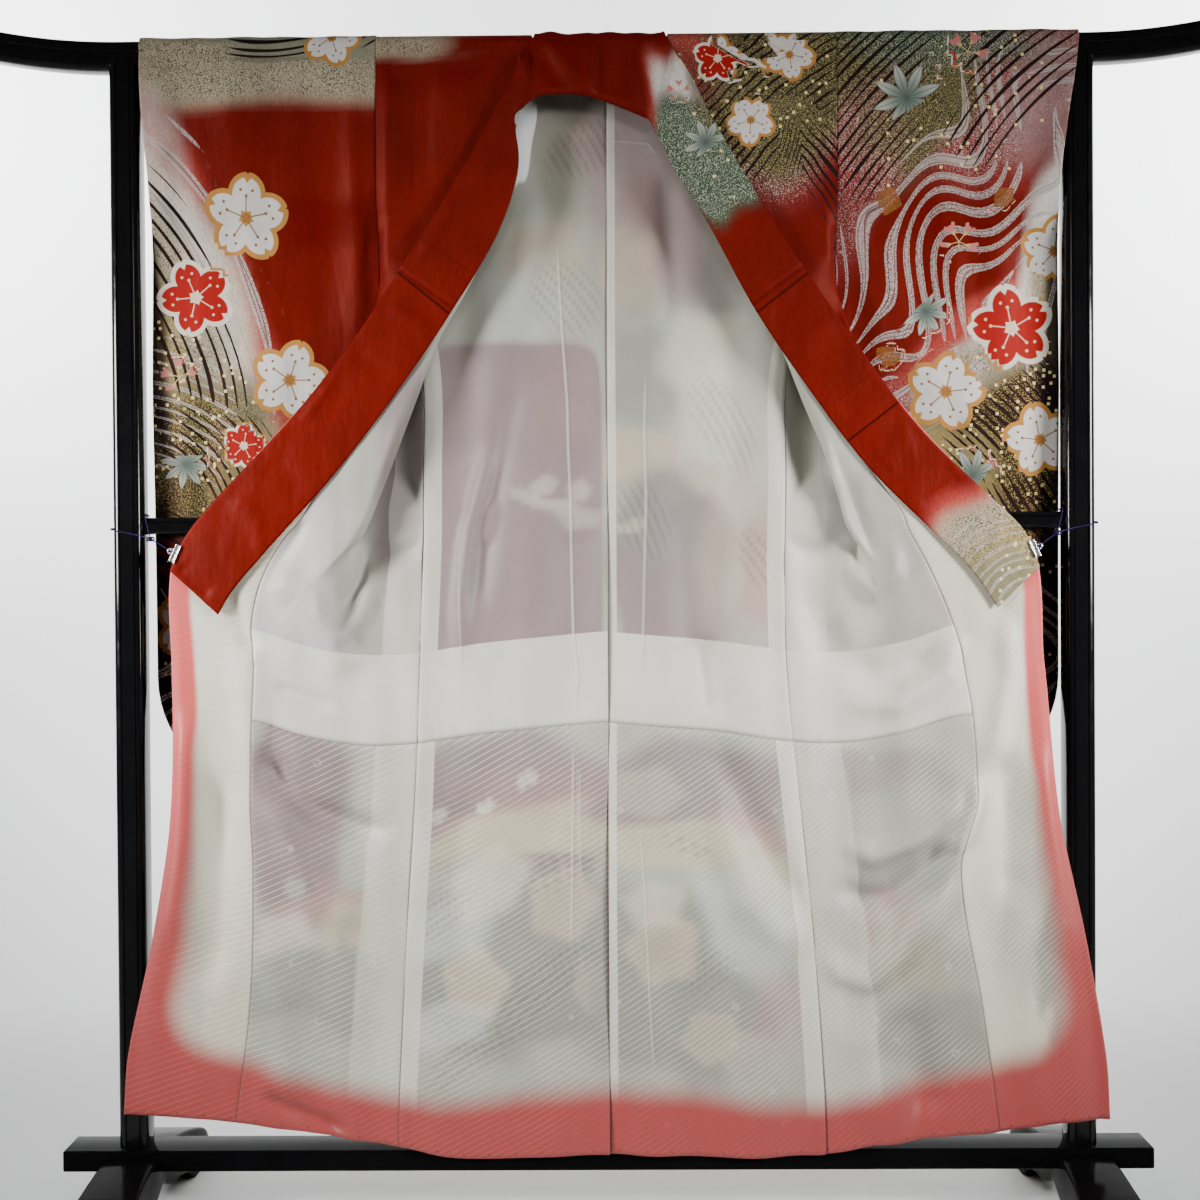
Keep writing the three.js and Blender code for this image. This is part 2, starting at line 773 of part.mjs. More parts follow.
function solidOf(geometry) {
  const bare = geometry.clone();
  bare.deleteAttribute("normal");
  bare.deleteAttribute("uv");
  const merged = mergeVertices(bare, 1e-3);
  return new wasm.Manifold(
    new wasm.Mesh({
      numProp: 3,
      vertProperties: new Float32Array(merged.attributes.position.array),
      triVerts: new Uint32Array(merged.index.array),
    }),
  );
}

function geometryOf(solid) {
  const mesh = solid.getMesh();
  const geometry = new THREE.BufferGeometry();
  geometry.setAttribute("position", new THREE.Float32BufferAttribute(mesh.vertProperties, 3));
  geometry.setIndex([...mesh.triVerts]);
  return geometry;
}

function bar(section, length) {
  const shape = new THREE.Shape(section.map(([x, y]) => new THREE.Vector2(x, y)));
  return new THREE.ExtrudeGeometry(shape, { depth: length, bevelEnabled: false, steps: 1 });
}

const railStations = [-1, -0.94, -0.88, -0.82, -0.75];
const allStations = [...railStations, ...railStations.map((share) => -share).reverse()];
const railRings = allStations.map((share) => {
  const x = share * railHalf;
  const past = Math.max(Math.abs(x) - railRiseFrom, 0);
  const middle = railTop - railHeight / 2 + railRise * past * past;
  return bevelled(railDepth, railHeight, railEdge).map(([y, z]) => [x, y, middle + z]);
});
addMesh("top_rail", closedLoft(railRings), lacquer, 0.18);

function post(name, x) {
  const bottom = beam.top + fit;
  const section = bevelled(postWidth, postWidth, postEdge);
  const shaft = bar(section, postTop - bottom).translate(x, 0, bottom);
  const slotHeight = postTop - (railTop - railHeight) + 2 * fit;
  const slot = new THREE.BoxGeometry(postWidth + 2, railDepth + 2 * fit, slotHeight);
  slot.translate(x, 0, railTop - railHeight - fit + slotHeight / 2);
  addMesh(name, geometryOf(solidOf(shaft).subtract(solidOf(slot))), lacquer, 0.18);
}
post("post_left", -postX);
post("post_right", postX);

const middleLength = 2 * (postX - postWidth / 2 - fit);
const middleHeight = middleRail.top - middleRail.bottom;
const middleBar = bar(bevelled(middleHeight, middleRail.depth, middleRail.edge), middleLength);
middleBar.rotateY(Math.PI / 2);
middleBar.translate(-middleLength / 2, 0, (middleRail.top + middleRail.bottom) / 2);
addMesh("middle_rail", middleBar, lacquer, 0.18);

const beamBar = bar(bevelled(beam.top - beam.bottom, beam.depth, beam.edge), 2 * beam.half);
beamBar.rotateY(Math.PI / 2);
beamBar.translate(-beam.half, 0, (beam.top + beam.bottom) / 2);
addMesh("base_beam", beamBar, lacquer, 0.18);

// A foot seen from the side: two toes, a cusped arch between them and a housing for the beam.
function footGeometry() {
  const half = foot.depth / 2;
  const housing = beam.depth / 2 + fit;
  const lip = housing + 8;
  const inner = half - foot.pad;
  const shape = new THREE.Shape();
  shape.moveTo(-half, 0);
  shape.lineTo(-half, foot.toe - 12);
  shape.quadraticCurveTo(-half, foot.toe + 8, -half + foot.toeRound, foot.toe + 20);
  shape.quadraticCurveTo(-half / 2, foot.shoulder, -lip, foot.crown);
  shape.lineTo(-housing, foot.crown);
  shape.lineTo(-housing, beam.bottom - fit);
  shape.lineTo(housing, beam.bottom - fit);
  shape.lineTo(housing, foot.crown);
  shape.lineTo(lip, foot.crown);
  shape.quadraticCurveTo(half / 2, foot.shoulder, half - foot.toeRound, foot.toe + 20);
  shape.quadraticCurveTo(half, foot.toe + 8, half, foot.toe - 12);
  shape.lineTo(half, 0);
  shape.lineTo(inner, 0);
  const [springRise, waistRise] = [arch.rise * arch.spring, arch.rise * arch.waist];
  shape.quadraticCurveTo(inner - arch.springIn, springRise, inner - arch.waistIn, waistRise);
  shape.quadraticCurveTo(arch.cuspIn, arch.rise, 0, arch.cusp);
  shape.quadraticCurveTo(-arch.cuspIn, arch.rise, -(inner - arch.waistIn), waistRise);
  shape.quadraticCurveTo(-(inner - arch.springIn), springRise, -inner, 0);
  shape.closePath();
  const options = { depth: foot.width, bevelEnabled: false, steps: 1, curveSegments: 6 };
  const geometry = new THREE.ExtrudeGeometry(shape, options);
  geometry.rotateX(Math.PI / 2);
  geometry.rotateZ(Math.PI / 2);
  geometry.translate(-foot.width / 2, 0, 0);
  return geometry;
}
for (const [name, x] of [["foot_left", -postX], ["foot_right", postX]]) {
  const mesh = addMesh(name, footGeometry(), lacquer, 0.18);
  mesh.position.x = x;
}

// Clips and ties that hold the fronts open.
const clip = { length: 26, reach: 12, wall: 1, back: 3, eye: 4, wire: 0.9 };
const cord = { radius: 1, sides: 8, steps: 44, knot: 3.4 };
const heldStack = outerCloth + collarLift + bandCloth + 2.4; // cloth between the jaws, with its slack

// The clip straddles the collar's seam edge; its local X runs along that edge and its Z outwards.
function addClip(side) {
  const sign = side === "left" ? -1 : 1;
  const [end, above] = collarRows[side];
  const along = new THREE.Vector3(above[0] - end[0], 0, above[1] - end[1]).normalize();
  const outward = new THREE.Vector3(sign * along.z, 0, -sign * along.x);
  const height = (end[1] + above[1]) / 2;
  const edge = smoothTable(frontRows[side])(height, 4);
  const middle = new THREE.Vector3(sign * (edge + 0.5), 0, height);
  middle.y = depthAt(middle.z, 3) + outerCloth + 0.5 - heldStack / 2;
  const half = heldStack / 2;
  const profile = new THREE.Shape();
  const corners = [
    [-clip.reach, half],
    [clip.back - clip.wall, half],
    [clip.back - clip.wall, -half],
    [-clip.reach, -half],
    [-clip.reach, -half - clip.wall],
    [clip.back - 1, -half - clip.wall],
    [clip.back, -half],
    [clip.back, half],
    [clip.back - 1, half + clip.wall],
    [-clip.reach, half + clip.wall],
  ];
  corners.forEach(([x, y], i) => (i ? profile.lineTo(x, y) : profile.moveTo(x, y)));
  profile.closePath();
  const options = { depth: clip.length, bevelEnabled: false, steps: 1 };
  const jaws = new THREE.ExtrudeGeometry(profile, options);
  jaws.translate(0, 0, -clip.length / 2);
  const eye = new THREE.TorusGeometry(clip.eye, clip.wire, 8, 20);
  eye.rotateX(Math.PI / 2);
  eye.translate(clip.back + clip.eye, 0, 0);
  const mesh = addMesh("clip_" + side, geometryOf(solidOf(jaws).add(solidOf(eye))), steel, 0.3, 0.8);
  const depthAxis = new THREE.Vector3().crossVectors(along, outward);
  mesh.matrixAutoUpdate = false;
  mesh.matrix.makeBasis(outward, depthAxis, along).setPosition(middle);
  return middle.clone().addScaledVector(outward, clip.back + clip.eye);
}

// The tie: through the clip's eye to a knot, then round the post and over the middle rail, back to the knot.
function addTie(side, eye) {
  const sign = side === "left" ? -1 : 1;
  const near = postX - postWidth / 2 - cord.radius - 0.6;
  const far = postX + postWidth / 2 + cord.radius + 0.6;
  const face = postWidth / 2 + cord.radius + 0.8;
  const flat = postWidth / 2 - postEdge + 0.5;
  const over = middleRail.top + cord.radius + 2.5;
  const knot = new THREE.Vector3(sign * 641, -46, 986);
  const start = new THREE.Vector3(eye.x, eye.y - 2, eye.z);
  const route = [
    [sign * (postX - flat), -face, 993],
    [sign * (postX + flat), -face, 998],
    [sign * far, -flat, 1001],
    [sign * far, flat, 1006],
    [sign * (postX + flat), face, 1010],
    [sign * (postX - flat), face, 1018],
    [sign * near, flat, over],
    [sign * near, -flat + 3, over],
  ].map((point) => new THREE.Vector3(...point));
  const through = new THREE.Vector3(eye.x + sign * 1.5, eye.y + 2.5, eye.z + 1);
  const path = new THREE.CatmullRomCurve3([start, through, knot, ...route, knot], false, "catmullrom", 0.25);
  const ring = Array.from({ length: cord.sides }, (_, i) => {
    const angle = (2 * Math.PI * i) / cord.sides;
    return new THREE.Vector2(cord.radius * Math.cos(angle), cord.radius * Math.sin(angle));
  });
  const options = { extrudePath: path, steps: cord.steps, bevelEnabled: false };
  const tube = new THREE.ExtrudeGeometry(new THREE.Shape(ring), options);
  const ball = new THREE.SphereGeometry(cord.knot, 12, 8).translate(knot.x, knot.y, knot.z);
  addMesh("tie_" + side, geometryOf(solidOf(tube).add(solidOf(ball))), cordViolet, 0.7);
}
for (const side of ["left", "right"]) addTie(side, addClip(side));

export default part;
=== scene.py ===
# A furisode spread open over a lacquered kimono stand, with its lining to the front.
# Lengths in the tables are millimetres; every object is in metres.
import math

import bmesh
import bpy
import numpy as np
from mathutils import Matrix, Vector


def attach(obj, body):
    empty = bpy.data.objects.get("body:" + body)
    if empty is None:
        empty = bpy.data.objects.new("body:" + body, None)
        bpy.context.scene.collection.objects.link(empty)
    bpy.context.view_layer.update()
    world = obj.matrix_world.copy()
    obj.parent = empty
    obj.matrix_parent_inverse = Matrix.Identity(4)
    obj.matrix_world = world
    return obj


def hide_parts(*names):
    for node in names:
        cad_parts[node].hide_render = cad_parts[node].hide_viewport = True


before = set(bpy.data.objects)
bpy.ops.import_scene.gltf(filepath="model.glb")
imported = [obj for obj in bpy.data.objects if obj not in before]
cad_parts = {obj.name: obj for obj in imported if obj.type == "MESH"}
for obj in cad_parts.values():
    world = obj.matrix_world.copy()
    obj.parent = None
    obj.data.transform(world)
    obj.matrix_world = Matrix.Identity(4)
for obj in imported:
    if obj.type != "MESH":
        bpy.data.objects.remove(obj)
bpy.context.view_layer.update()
mm = 0.001
print("frame loaded")

# Camera: in front of the lining, a little above half height, looking very slightly down.
cameraPlace = {
    "at": (0.0185, -2.3407, 0.9231),
    "pan": math.radians(-0.568),
    "tilt": math.radians(0.691),
    "roll": math.radians(-0.39),
    "lens": 48.68,
}


def makeCamera():
    pan, tilt = cameraPlace["pan"], cameraPlace["tilt"]
    forward = Vector(
        (math.sin(pan) * math.cos(tilt), math.cos(pan) * math.cos(tilt), -math.sin(tilt))
    )
    right = forward.cross(Vector((0, 0, 1))).normalized()
    up = right.cross(forward)
    turned = right * math.cos(cameraPlace["roll"]) + up * math.sin(cameraPlace["roll"])
    above = turned.cross(forward)
    data = bpy.data.cameras.new("camera")
    data.lens = cameraPlace["lens"]
    data.sensor_width = 36
    camera = bpy.data.objects.new("camera", data)
    camera.matrix_world = Matrix((turned, above, -forward)).transposed().to_4x4()
    camera.location = cameraPlace["at"]
    bpy.context.scene.collection.objects.link(camera)
    bpy.context.scene.camera = camera


makeCamera()

# Ties: a thin twisted cord from each clip's eye, round the post and over the middle rail, knotted to itself.
tie = {
    "radius": 1.0,
    "strand": 0.14,
    "pitch": 5.2,
    "length": 0.272,
    "tension": 0.25,
    "eye": {"left": (-611.6, -49.6, 968.5), "right": (614.9, -49.6, 967.3)},
    "knot": (641, -46, 986),
    "postKnot": (706.6, -9.5, 1001.5),
    "knotSizes": {"knot": (6.6, 1.25), "post_knot": (3.4, 0.9), "eye_knot": (3.0, 0.8)},
    "round": [
        (669.5, -22.8, 993),
        (694.5, -22.8, 998),
        (704.6, -12.5, 1001),
        (704.6, 12.5, 1006),
        (694.5, 22.8, 1010),
        (669.5, 22.8, 1018),
        (659.4, 12.5, 1021.5),
        (659.4, -9.5, 1021.5),
    ],
}


def hermite(t, start, end, leave, arrive):
    # A cubic between two values, with the given slopes at its ends.
    near = (2 * t**3 - 3 * t**2 + 1) * start + (t**3 - 2 * t**2 + t) * leave
    return near + (3 * t**2 - 2 * t**3) * end + (t**3 - t**2) * arrive


def curveThrough(points, steps, tension=0.5):
    # A smooth line through the points, with the same number of steps in each span.
    points = np.array(points, float)
    padded = np.concatenate([2 * points[:1] - points[1:2], points, 2 * points[-1:] - points[-2:-1]])
    t = np.linspace(0, 1, steps, endpoint=False)[:, None]
    parts = [
        hermite(t, start, end, tension * (end - before), tension * (after - start))
        for before, start, end, after in zip(padded, padded[1:], padded[2:], padded[3:])
    ]
    return np.concatenate([*parts, points[-1:]])


def twistedCord(name, line, radius):
    # A tube of two strands twisted round each other, closed at both ends.
    sides = 12
    along = np.concatenate([[0], np.cumsum(np.linalg.norm(np.diff(line, axis=0), axis=1))])
    count = int(along[-1] / 0.55)
    even = np.linspace(0, along[-1], count)
    line = np.stack([np.interp(even, along, line[:, c]) for c in range(3)], axis=1)
    ahead = np.gradient(line, axis=0)
    ahead /= np.linalg.norm(ahead, axis=1, keepdims=True)
    aside = np.cross(ahead[0], (0, 0, 1.0))
    points, strands = [], []
    for i, place in enumerate(line):
        aside = aside - ahead[i] * np.dot(aside, ahead[i])
        aside /= np.linalg.norm(aside)
        up = np.cross(ahead[i], aside)
        turn = np.arange(sides) * 2 * math.pi / sides
        lobes = np.cos(2 * turn - 2 * math.pi * even[i] / tie["pitch"])
        shrink = 0.35 if i in (0, count - 1) else 1
        out = radius * (1 + tie["strand"] * (lobes - 1)) * shrink
        points.append(place + np.outer(out * np.cos(turn), aside) + np.outer(out * np.sin(turn), up))
        strands.append(lobes)
    ids = np.arange(count * sides).reshape(count, sides)
    after = np.roll(ids, -1, axis=1)
    faces = np.stack([ids[:-1], after[:-1], after[1:], ids[1:]], axis=2).reshape(-1, 4).tolist()
    faces += [ids[0, ::-1].tolist(), ids[-1].tolist()]
    mesh = bpy.data.meshes.new(name)
    mesh.from_pydata((np.concatenate(points) * mm).tolist(), [], faces)
    layer = mesh.attributes.new("strand", "FLOAT", "POINT")
    layer.data.foreach_set("value", np.concatenate(strands).astype(np.float32))
    mesh.polygons.foreach_set("use_smooth", np.ones(len(faces), dtype=bool))
    piece = bpy.data.objects.new(name, mesh)
    bpy.context.scene.collection.objects.link(piece)
    return piece, line


def knotted(name, place, size, radius):
    # A small hard knot: the cord wound through itself.
    t = np.linspace(0, 2 * math.pi, 90)
    ring = 2 + np.cos(3 * t)
    wound = np.stack([ring * np.cos(2 * t), ring * np.sin(2 * t), 1.4 * np.sin(3 * t)], axis=1)
    return twistedCord(name, wound * (size - radius) / 3 + place, radius)[0]


def makeTie(side, sign):
    eye, outwards = np.array(tie["eye"][side]), (sign, 1, 1)
    knot = np.array(tie["knot"]) * outwards
    route = [eye + (0, -2, 0), eye + (1.5 * sign, 2.5, 1), knot, *(np.array(tie["round"]) * outwards), knot]
    cord, line = twistedCord(f"tie_{side}_cord", curveThrough(route, 12, tie["tension"]), tie["radius"])
    places = {"knot": knot, "post_knot": np.array(tie["postKnot"]) * outwards, "eye_knot": eye + (0, -2.5, 0)}
    knots = []
    for kind, (size, thickness) in tie["knotSizes"].items():
        knots.append(knotted(f"tie_{side}_{kind}", places[kind], size, tie["radius"] * thickness))
    for piece in (cord, *knots):
        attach(piece, "root")
    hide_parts(f"tie_{side}")
    return cord, *knots


cordPieces = [piece for side, sign in (("left", -1), ("right", 1)) for piece in makeTie(side, sign)]
print("ties done")

# Cloth tables. Each row holds a height and the values at it; between rows a value follows a smooth cubic.
garment = {
    "sleeveSeam": {"left": 319, "right": 337},  # armhole seam, out from the middle
    "neckHalf": 97,
    "neckNarrowing": 9,
    "centreTop": 9,
    "centreHem": 4.5,
    "overlapTip": 1463,
    "overlapTaper": 0.325,
    "overlapJoin": 1002,
    "pleatEnd": 965,
    "liningSeam": 700,
    "gatherStep": 4,
    "lowestRow": 100,
    "hemReach": 600,
    "seamReach": 150,
    "railTop": 1700,
    "railLow": 1680,
    "outer": (0.1, 1.0),  # where the outer silk lies on its sheet
    "lining": (-1.35, -0.5),  # where the lining lies on it
    "rowStep": 7,
    "printTop": 1290,  # the lower print of the outer silk starts here
}
sides = {"left": -1, "right": 1}

# height, side seam, back pleat, front pleat, front edge (out from the middle)
frontRows = {
    "left": [
        (1702, 319, 319, 97, 97), (1640, 319, 319, 108, 121), (1565, 319, 319, 120, 162),
        (1464, 317, 319, 142, 221), (1363, 283, 317, 178, 287), (1265, 262, 337, 232, 352),
        (1187, 255, 344, 262, 413), (1082, 256, 352, 302, 509), (990, 256, 362, 339, 590),
        (938, 258, 382, 366, 613), (800, 264, 390, 380, 613), (612, 271, 390, 380, 615),
        (400, 284, 400, 390, 643), (200, 294, 410, 400, 681), (100, 297, 415, 405, 688),
    ],
    "right": [
        (1702, 337, 337, 97, 97), (1640, 337, 337, 106, 126), (1565, 337, 337, 125, 165),
        (1464, 333, 337, 154, 223), (1363, 300, 335, 198, 287), (1265, 272, 360, 250, 354),
        (1187, 262, 371, 281, 408), (1082, 262, 376, 323, 500), (990, 260, 372, 348, 593),
        (938, 259, 384, 370, 615), (800, 262, 392, 382, 622), (612, 278, 400, 390, 639),
        (400, 297, 410, 400, 679), (200, 309, 420, 410, 709), (100, 312, 425, 415, 714),
    ],
}
# The free stretch of the overlap seam: height, distance out.
overlapRows = {
    "left": [
        (1002, 442), (935, 481), (860, 500), (800, 496), (612, 503), (503, 500), (300, 506), (100, 528),
    ],
    "right": [
        (1002, 426), (935, 462), (860, 494), (800, 507), (612, 528), (503, 504), (300, 533), (100, 558),
    ],
}
# height, depth of the back and side, of the middle layer, of the front layer
depthRows = [
    (1680, 21.8, -21.8, -23), (1640, 23.5, -23.5, -33), (1565, 21, -25, -34), (1464, 16, -25, -37),
    (1363, 2, -26, -38), (1265, -3, -26, -40), (1187, -6, -27, -43), (1082, -12, -28, -46),
    (1000, -18, -32, -48), (938, -19, -33, -47), (800, -22, -33, -44), (500, -30, -36, -42),
    (100, -42, -42, -43),
]
# distance out, height of the hem
hemRows = {
    "left": [
        (0, 106), (126, 102), (190, 101), (240, 106), (296, 118), (380, 132), (526, 154), (608, 162),
        (690, 167),
    ],
    "right": [
        (0, 106), (100, 104), (215, 101), (312, 106), (380, 117), (485, 131), (556, 137), (640, 149),
        (716, 155),
    ],
}
# distance out, the lining seam's height above or below its mean
liningSeamRows = [
    (0, 21), (175, 5), (265, -8), (345, -10), (430, 6), (500, 28), (620, 34),
]
# height, how far the back pleat and the front pleat are folded
pleatRows = [
    (1702, 0, 0), (1680, 0, 0), (1660, 0, 0.6), (1640, 0, 1), (1464, 0, 1), (1432, 0.16, 1),
    (1400, 0.5, 1), (1370, 0.85, 1), (1340, 1, 1), (1010, 1, 1), (990, 0.92, 0.92), (965, 0.45, 0.45),
    (940, 0.1, 0.1), (920, 0, 0), (100, 0, 0),
]


def smoothTable(rows):
    ordered = sorted(rows)
    keys = np.array([row[0] for row in ordered], float)
    values = np.array([row[1:] for row in ordered], float)
    low = np.maximum(np.arange(len(keys)) - 1, 0)
    high = np.minimum(np.arange(len(keys)) + 1, len(keys) - 1)
    slopes = (values[high] - values[low]) / (keys[high] - keys[low])[:, None]

    def read(at, column=0):
        place = np.clip(np.asarray(at, float), keys[0], keys[-1])
        i = np.clip(np.searchsorted(keys, place, side="right") - 1, 0, len(keys) - 2)
        span = keys[i + 1] - keys[i]
        v, m = values[:, column], slopes[:, column]
        return hermite((place - keys[i]) / span, v[i], v[i + 1], span * m[i], span * m[i + 1])

    return read


frontAt = {side: smoothTable(rows) for side, rows in frontRows.items()}
overlapAt = {side: smoothTable(rows) for side, rows in overlapRows.items()}
hemAt = {side: smoothTable(rows) for side, rows in hemRows.items()}
depthAt = smoothTable(depthRows)
pleatAt = smoothTable(pleatRows)
seamLiftAt = smoothTable(liningSeamRows)


def clamp01(value):
    return np.clip(value, 0.0, 1.0)


def mix(a, b, share):
    return a + (b - a) * share


def ease(value, low, high):
    t = clamp01((value - low) / (high - low))
    return t * t * (3 - 2 * t)


# Creases of each cloth: height towards the viewer, half width, lean, points (x, z).
# A lean above 0 puts a hollow on the line's right-hand side.
creases = {
    "front_left": [
        (-3.5, 11, 0, [(-330, 1010), (-352, 930), (-372, 872)]),
        (3, 11, 0, [(-405, 930), (-398, 876), (-374, 846), (-350, 868), (-322, 930)]),
        (5, 22, 0, [(-491, 940), (-425, 910), (-402, 860), (-372, 815), (-330, 800)]),
        (-2.5, 7, 0, [(-472, 778), (-425, 760), (-380, 742)]),
        (-3, 13, 0.4, [(-425, 1020), (-461, 955), (-484, 915)]),
        (-3.5, 15, 0, [(-545, 930), (-519, 882), (-495, 815)]),
        (-6, 24, 0.3, [(-556, 680), (-553, 575), (-556, 469), (-566, 330)]),
        (4, 20, 0, [(-590, 760), (-600, 560), (-622, 380)]),
        (-6, 20, -0.4, [(-492, 700), (-455, 645), (-416, 604), (-351, 575), (-290, 570)]),
        (4, 24, 0, [(-480, 640), (-445, 540), (-400, 470), (-330, 420)]),
        (-4, 13, 0.3, [(-500, 195), (-430, 160), (-365, 135)]),
        (3, 26, 0, [(-470, 380), (-455, 250), (-470, 150)]),
    ],
    "back": [
        (-2.6, 18, 0.4, [(-118, 1240), (-150, 1110), (-176, 960), (-180, 900), (-168, 850)]),
        (3.5, 14, 0, [(-144, 1154), (-190, 1000), (-202, 900), (-204, 790)]),
        (-3, 22, 0.3, [(92, 1540), (97, 1420), (100, 1240)]),
        (3, 24, 0, [(-95, 1500), (-110, 1380), (-105, 1280)]),
        (-3, 18, 0, [(140, 850), (150, 790), (160, 720)]),
        (-4.4, 24, 0.3, [(155, 715), (168, 660), (200, 592), (252, 490), (300, 430)]),
        (4.5, 26, 0, [(140, 640), (165, 555), (205, 465), (290, 375)]),
        (3, 30, 0, [(-60, 560), (-95, 420), (-80, 260)]),
        (-3, 26, 0, [(-190, 640), (-215, 500), (-190, 360)]),
        (-2.5, 20, 0, [(70, 420), (95, 300), (80, 180)]),
    ],
    "front_right": [
        (-3.2, 14, 0, [(320, 1120), (340, 1060), (362, 1005), (380, 958), (388, 926)]),
        (4, 13, 0, [(300, 1080), (324, 1000), (350, 940), (384, 904), (412, 930), (408, 990)]),
        (-4, 17, 0, [(288, 1225), (286, 1120), (296, 1010)]),
        (-4.5, 28, 0, [(285, 960), (302, 882), (338, 815), (389, 780), (455, 806), (494, 850)]),
        (5, 19, 0, [(330, 752), (415, 748), (480, 790), (504, 860)]),
        (4, 16, 0, [(566, 880), (573, 790), (556, 700), (535, 640)]),
        (5, 15, 0, [(300, 404), (335, 362), (372, 350), (425, 392), (480, 480), (499, 520)]),
        (-5, 17, 0, [(320, 500), (362, 468), (400, 468), (450, 505), (492, 555)]),
        (4, 13, 0, [(330, 560), (380, 525), (435, 548), (495, 596), (520, 620)]),
        (3.2, 9, 0.6, [(496, 525), (508, 560), (524, 600), (530, 640)]),
        (-5, 20, 0, [(562, 690), (570, 590), (575, 450)]),
        (3.5, 22, 0, [(610, 700), (632, 540), (655, 360)]),
        (-3.5, 26, 0, [(420, 320), (440, 230), (470, 150)]),
        (3, 22, 0, [(350, 300), (365, 210), (380, 120)]),
    ],
    "shoulder_left": [
        (5, 13, 0.4, [(-206, 1690), (-219, 1567), (-252, 1422), (-285, 1330)]),
        (3.5, 12, 0, [(-150, 1660), (-172, 1560), (-200, 1480)]),
        (3.5, 12, 0, [(-300, 1670), (-303, 1560), (-300, 1400)]),
        (-4, 12, 0, [(-262, 1680), (-268, 1560), (-275, 1440)]),
    ],
    "shoulder_right": [
        (-5, 14, 0.3, [(205, 1500), (232, 1430), (300, 1300)]),
        (4, 13, 0, [(262, 1640), (290, 1420), (330, 1300)]),
        (3, 14, 0, [(200, 1690), (210, 1600), (235, 1520)]),
        (-3, 12, 0, [(300, 1690), (305, 1560), (310, 1460)]),
    ],
    "sleeve_left": [
        (4.5, 22, 0, [(-530, 1680), (-523, 1585), (-508, 1450), (-500, 1300)]),
        (-4.5, 24, 0, [(-404, 1660), (-389, 1500), (-395, 1350), (-420, 1230)]),
        (4.5, 15, 0, [(-358, 1690), (-352, 1560), (-348, 1400), (-352, 1240)]),
        (-3, 20, 0, [(-590, 1680), (-592, 1560), (-600, 1400)]),
        (3, 22, 0, [(-450, 1560), (-455, 1420), (-470, 1290)]),
        (-3.5, 22, 0, [(-560, 1300), (-575, 1100), (-570, 900)]),
    ],
    "sleeve_right": [
        (4, 20, 0, [(390, 1690), (385, 1560), (400, 1400)]),
        (-4, 22, 0, [(452, 1690), (448, 1540), (455, 1380), (470, 1200)]),
        (4, 24, 0, [(560, 1690), (548, 1560), (560, 1380), (575, 1150)]),
        (-3, 18, 0, [(625, 1690), (622, 1500), (612, 1330)]),
        (3.5, 20, 0, [(500, 1450), (520, 1300), (530, 1120)]),
    ],
}
# Folds with an edge: height, width of the edge, reach, points from the top with the high side on the left.
edges = {
    "front_left": [
        (3.5, 6, 38, [(-244, 1240), (-283, 1130), (-316, 1042), (-340, 975), (-361, 918), (-384, 884)]),
    ],
    "front_right": [
        (0.9, 6, 30, [(318, 1130), (338, 1065), (362, 1005), (382, 955), (392, 926)]),
    ],
    "shoulder_left": [
        (0.9, 5, 22, [(-262, 1660), (-268, 1560), (-282, 1460), (-300, 1380)]),
    ],
    "sleeve_right": [
        (1.4, 6, 30, [(400, 1690), (398, 1560), (416, 1430), (430, 1320)]),
    ],
}
# Narrow loose tucks of the back lining: how strong, points.
tucks = {
    "left": [
        (1.0, [
            (-64, 1425), (-58, 1300), (-50, 1180), (-49, 1110), (-46, 1038), (-45, 930), (-43, 839),
            (-37, 780), (-41, 750), (-38, 716),
        ]),
        (0.7, [(-44, 690), (-46, 560), (-49, 400)]),
        (0.45, [(-35, 660), (-36, 590), (-35, 500)]),
        (0.35, [(-204, 985), (-205, 900), (-203, 790)]),
    ],
    "right": [
        (0.75, [(62, 1225), (60, 1130), (62, 1045), (59, 930), (57, 850), (52, 770)]),
        (0.6, [(49, 570), (56, 470), (60, 360), (68, 215)]),
        (0.4, [(13, 1560), (70, 1556), (82, 1540)]),
    ],
}


def lineDistance(x, z, line):
    # Distance to a broken line, the side it lies on, and how far along its length the nearest point is.
    points = np.array(line, float)
    steps = np.hypot(*np.diff(points, axis=0).T)
    done = np.concatenate([[0], np.cumsum(steps)])
    best = np.full(np.shape(x), 1e9)
    sideOf = np.zeros(np.shape(x))
    along = np.zeros(np.shape(x))
    for i, length in enumerate(steps):
        dx, dz = (points[i + 1] - points[i]) / length
        px, pz = x - points[i, 0], z - points[i, 1]
        t = np.clip(px * dx + pz * dz, 0, length)
        distance = np.hypot(px - t * dx, pz - t * dz)
        closer = distance < best
        best = np.where(closer, distance, best)
        sideOf = np.where(closer, np.sign(px * dz - pz * dx), sideOf)
        along = np.where(closer, (done[i] + t) / done[-1], along)
    return best, sideOf, along


def softFolds(x, z, rows, fade):
    # Height of some creases towards the viewer; each fades out over a share of its length.
    total = np.zeros(np.shape(x))
    for height, width, lean, line in rows:
        distance, sideOf, along = lineDistance(x, z, line)
        share = distance / width
        ends = ease(along, 0, fade) * ease(1 - along, 0, fade)
        total += height * ends * np.exp(-(share**2)) * (1 - 1.4 * lean * sideOf * share)
    return total


def creased(cloth, x, z):
    # Height of all the creases and folded edges of one cloth.
    total = softFolds(x, z, creases[cloth], 0.22)
    for height, width, reach, line in edges.get(cloth, ()):
        distance, sideOf, along = lineDistance(x, z, line)
        ends = ease(along, 0, 0.12) * ease(1 - along, 0, 0.16)
        total += height * ends * sideOf * np.tanh(distance / width) * np.exp(-distance / reach)
    return total


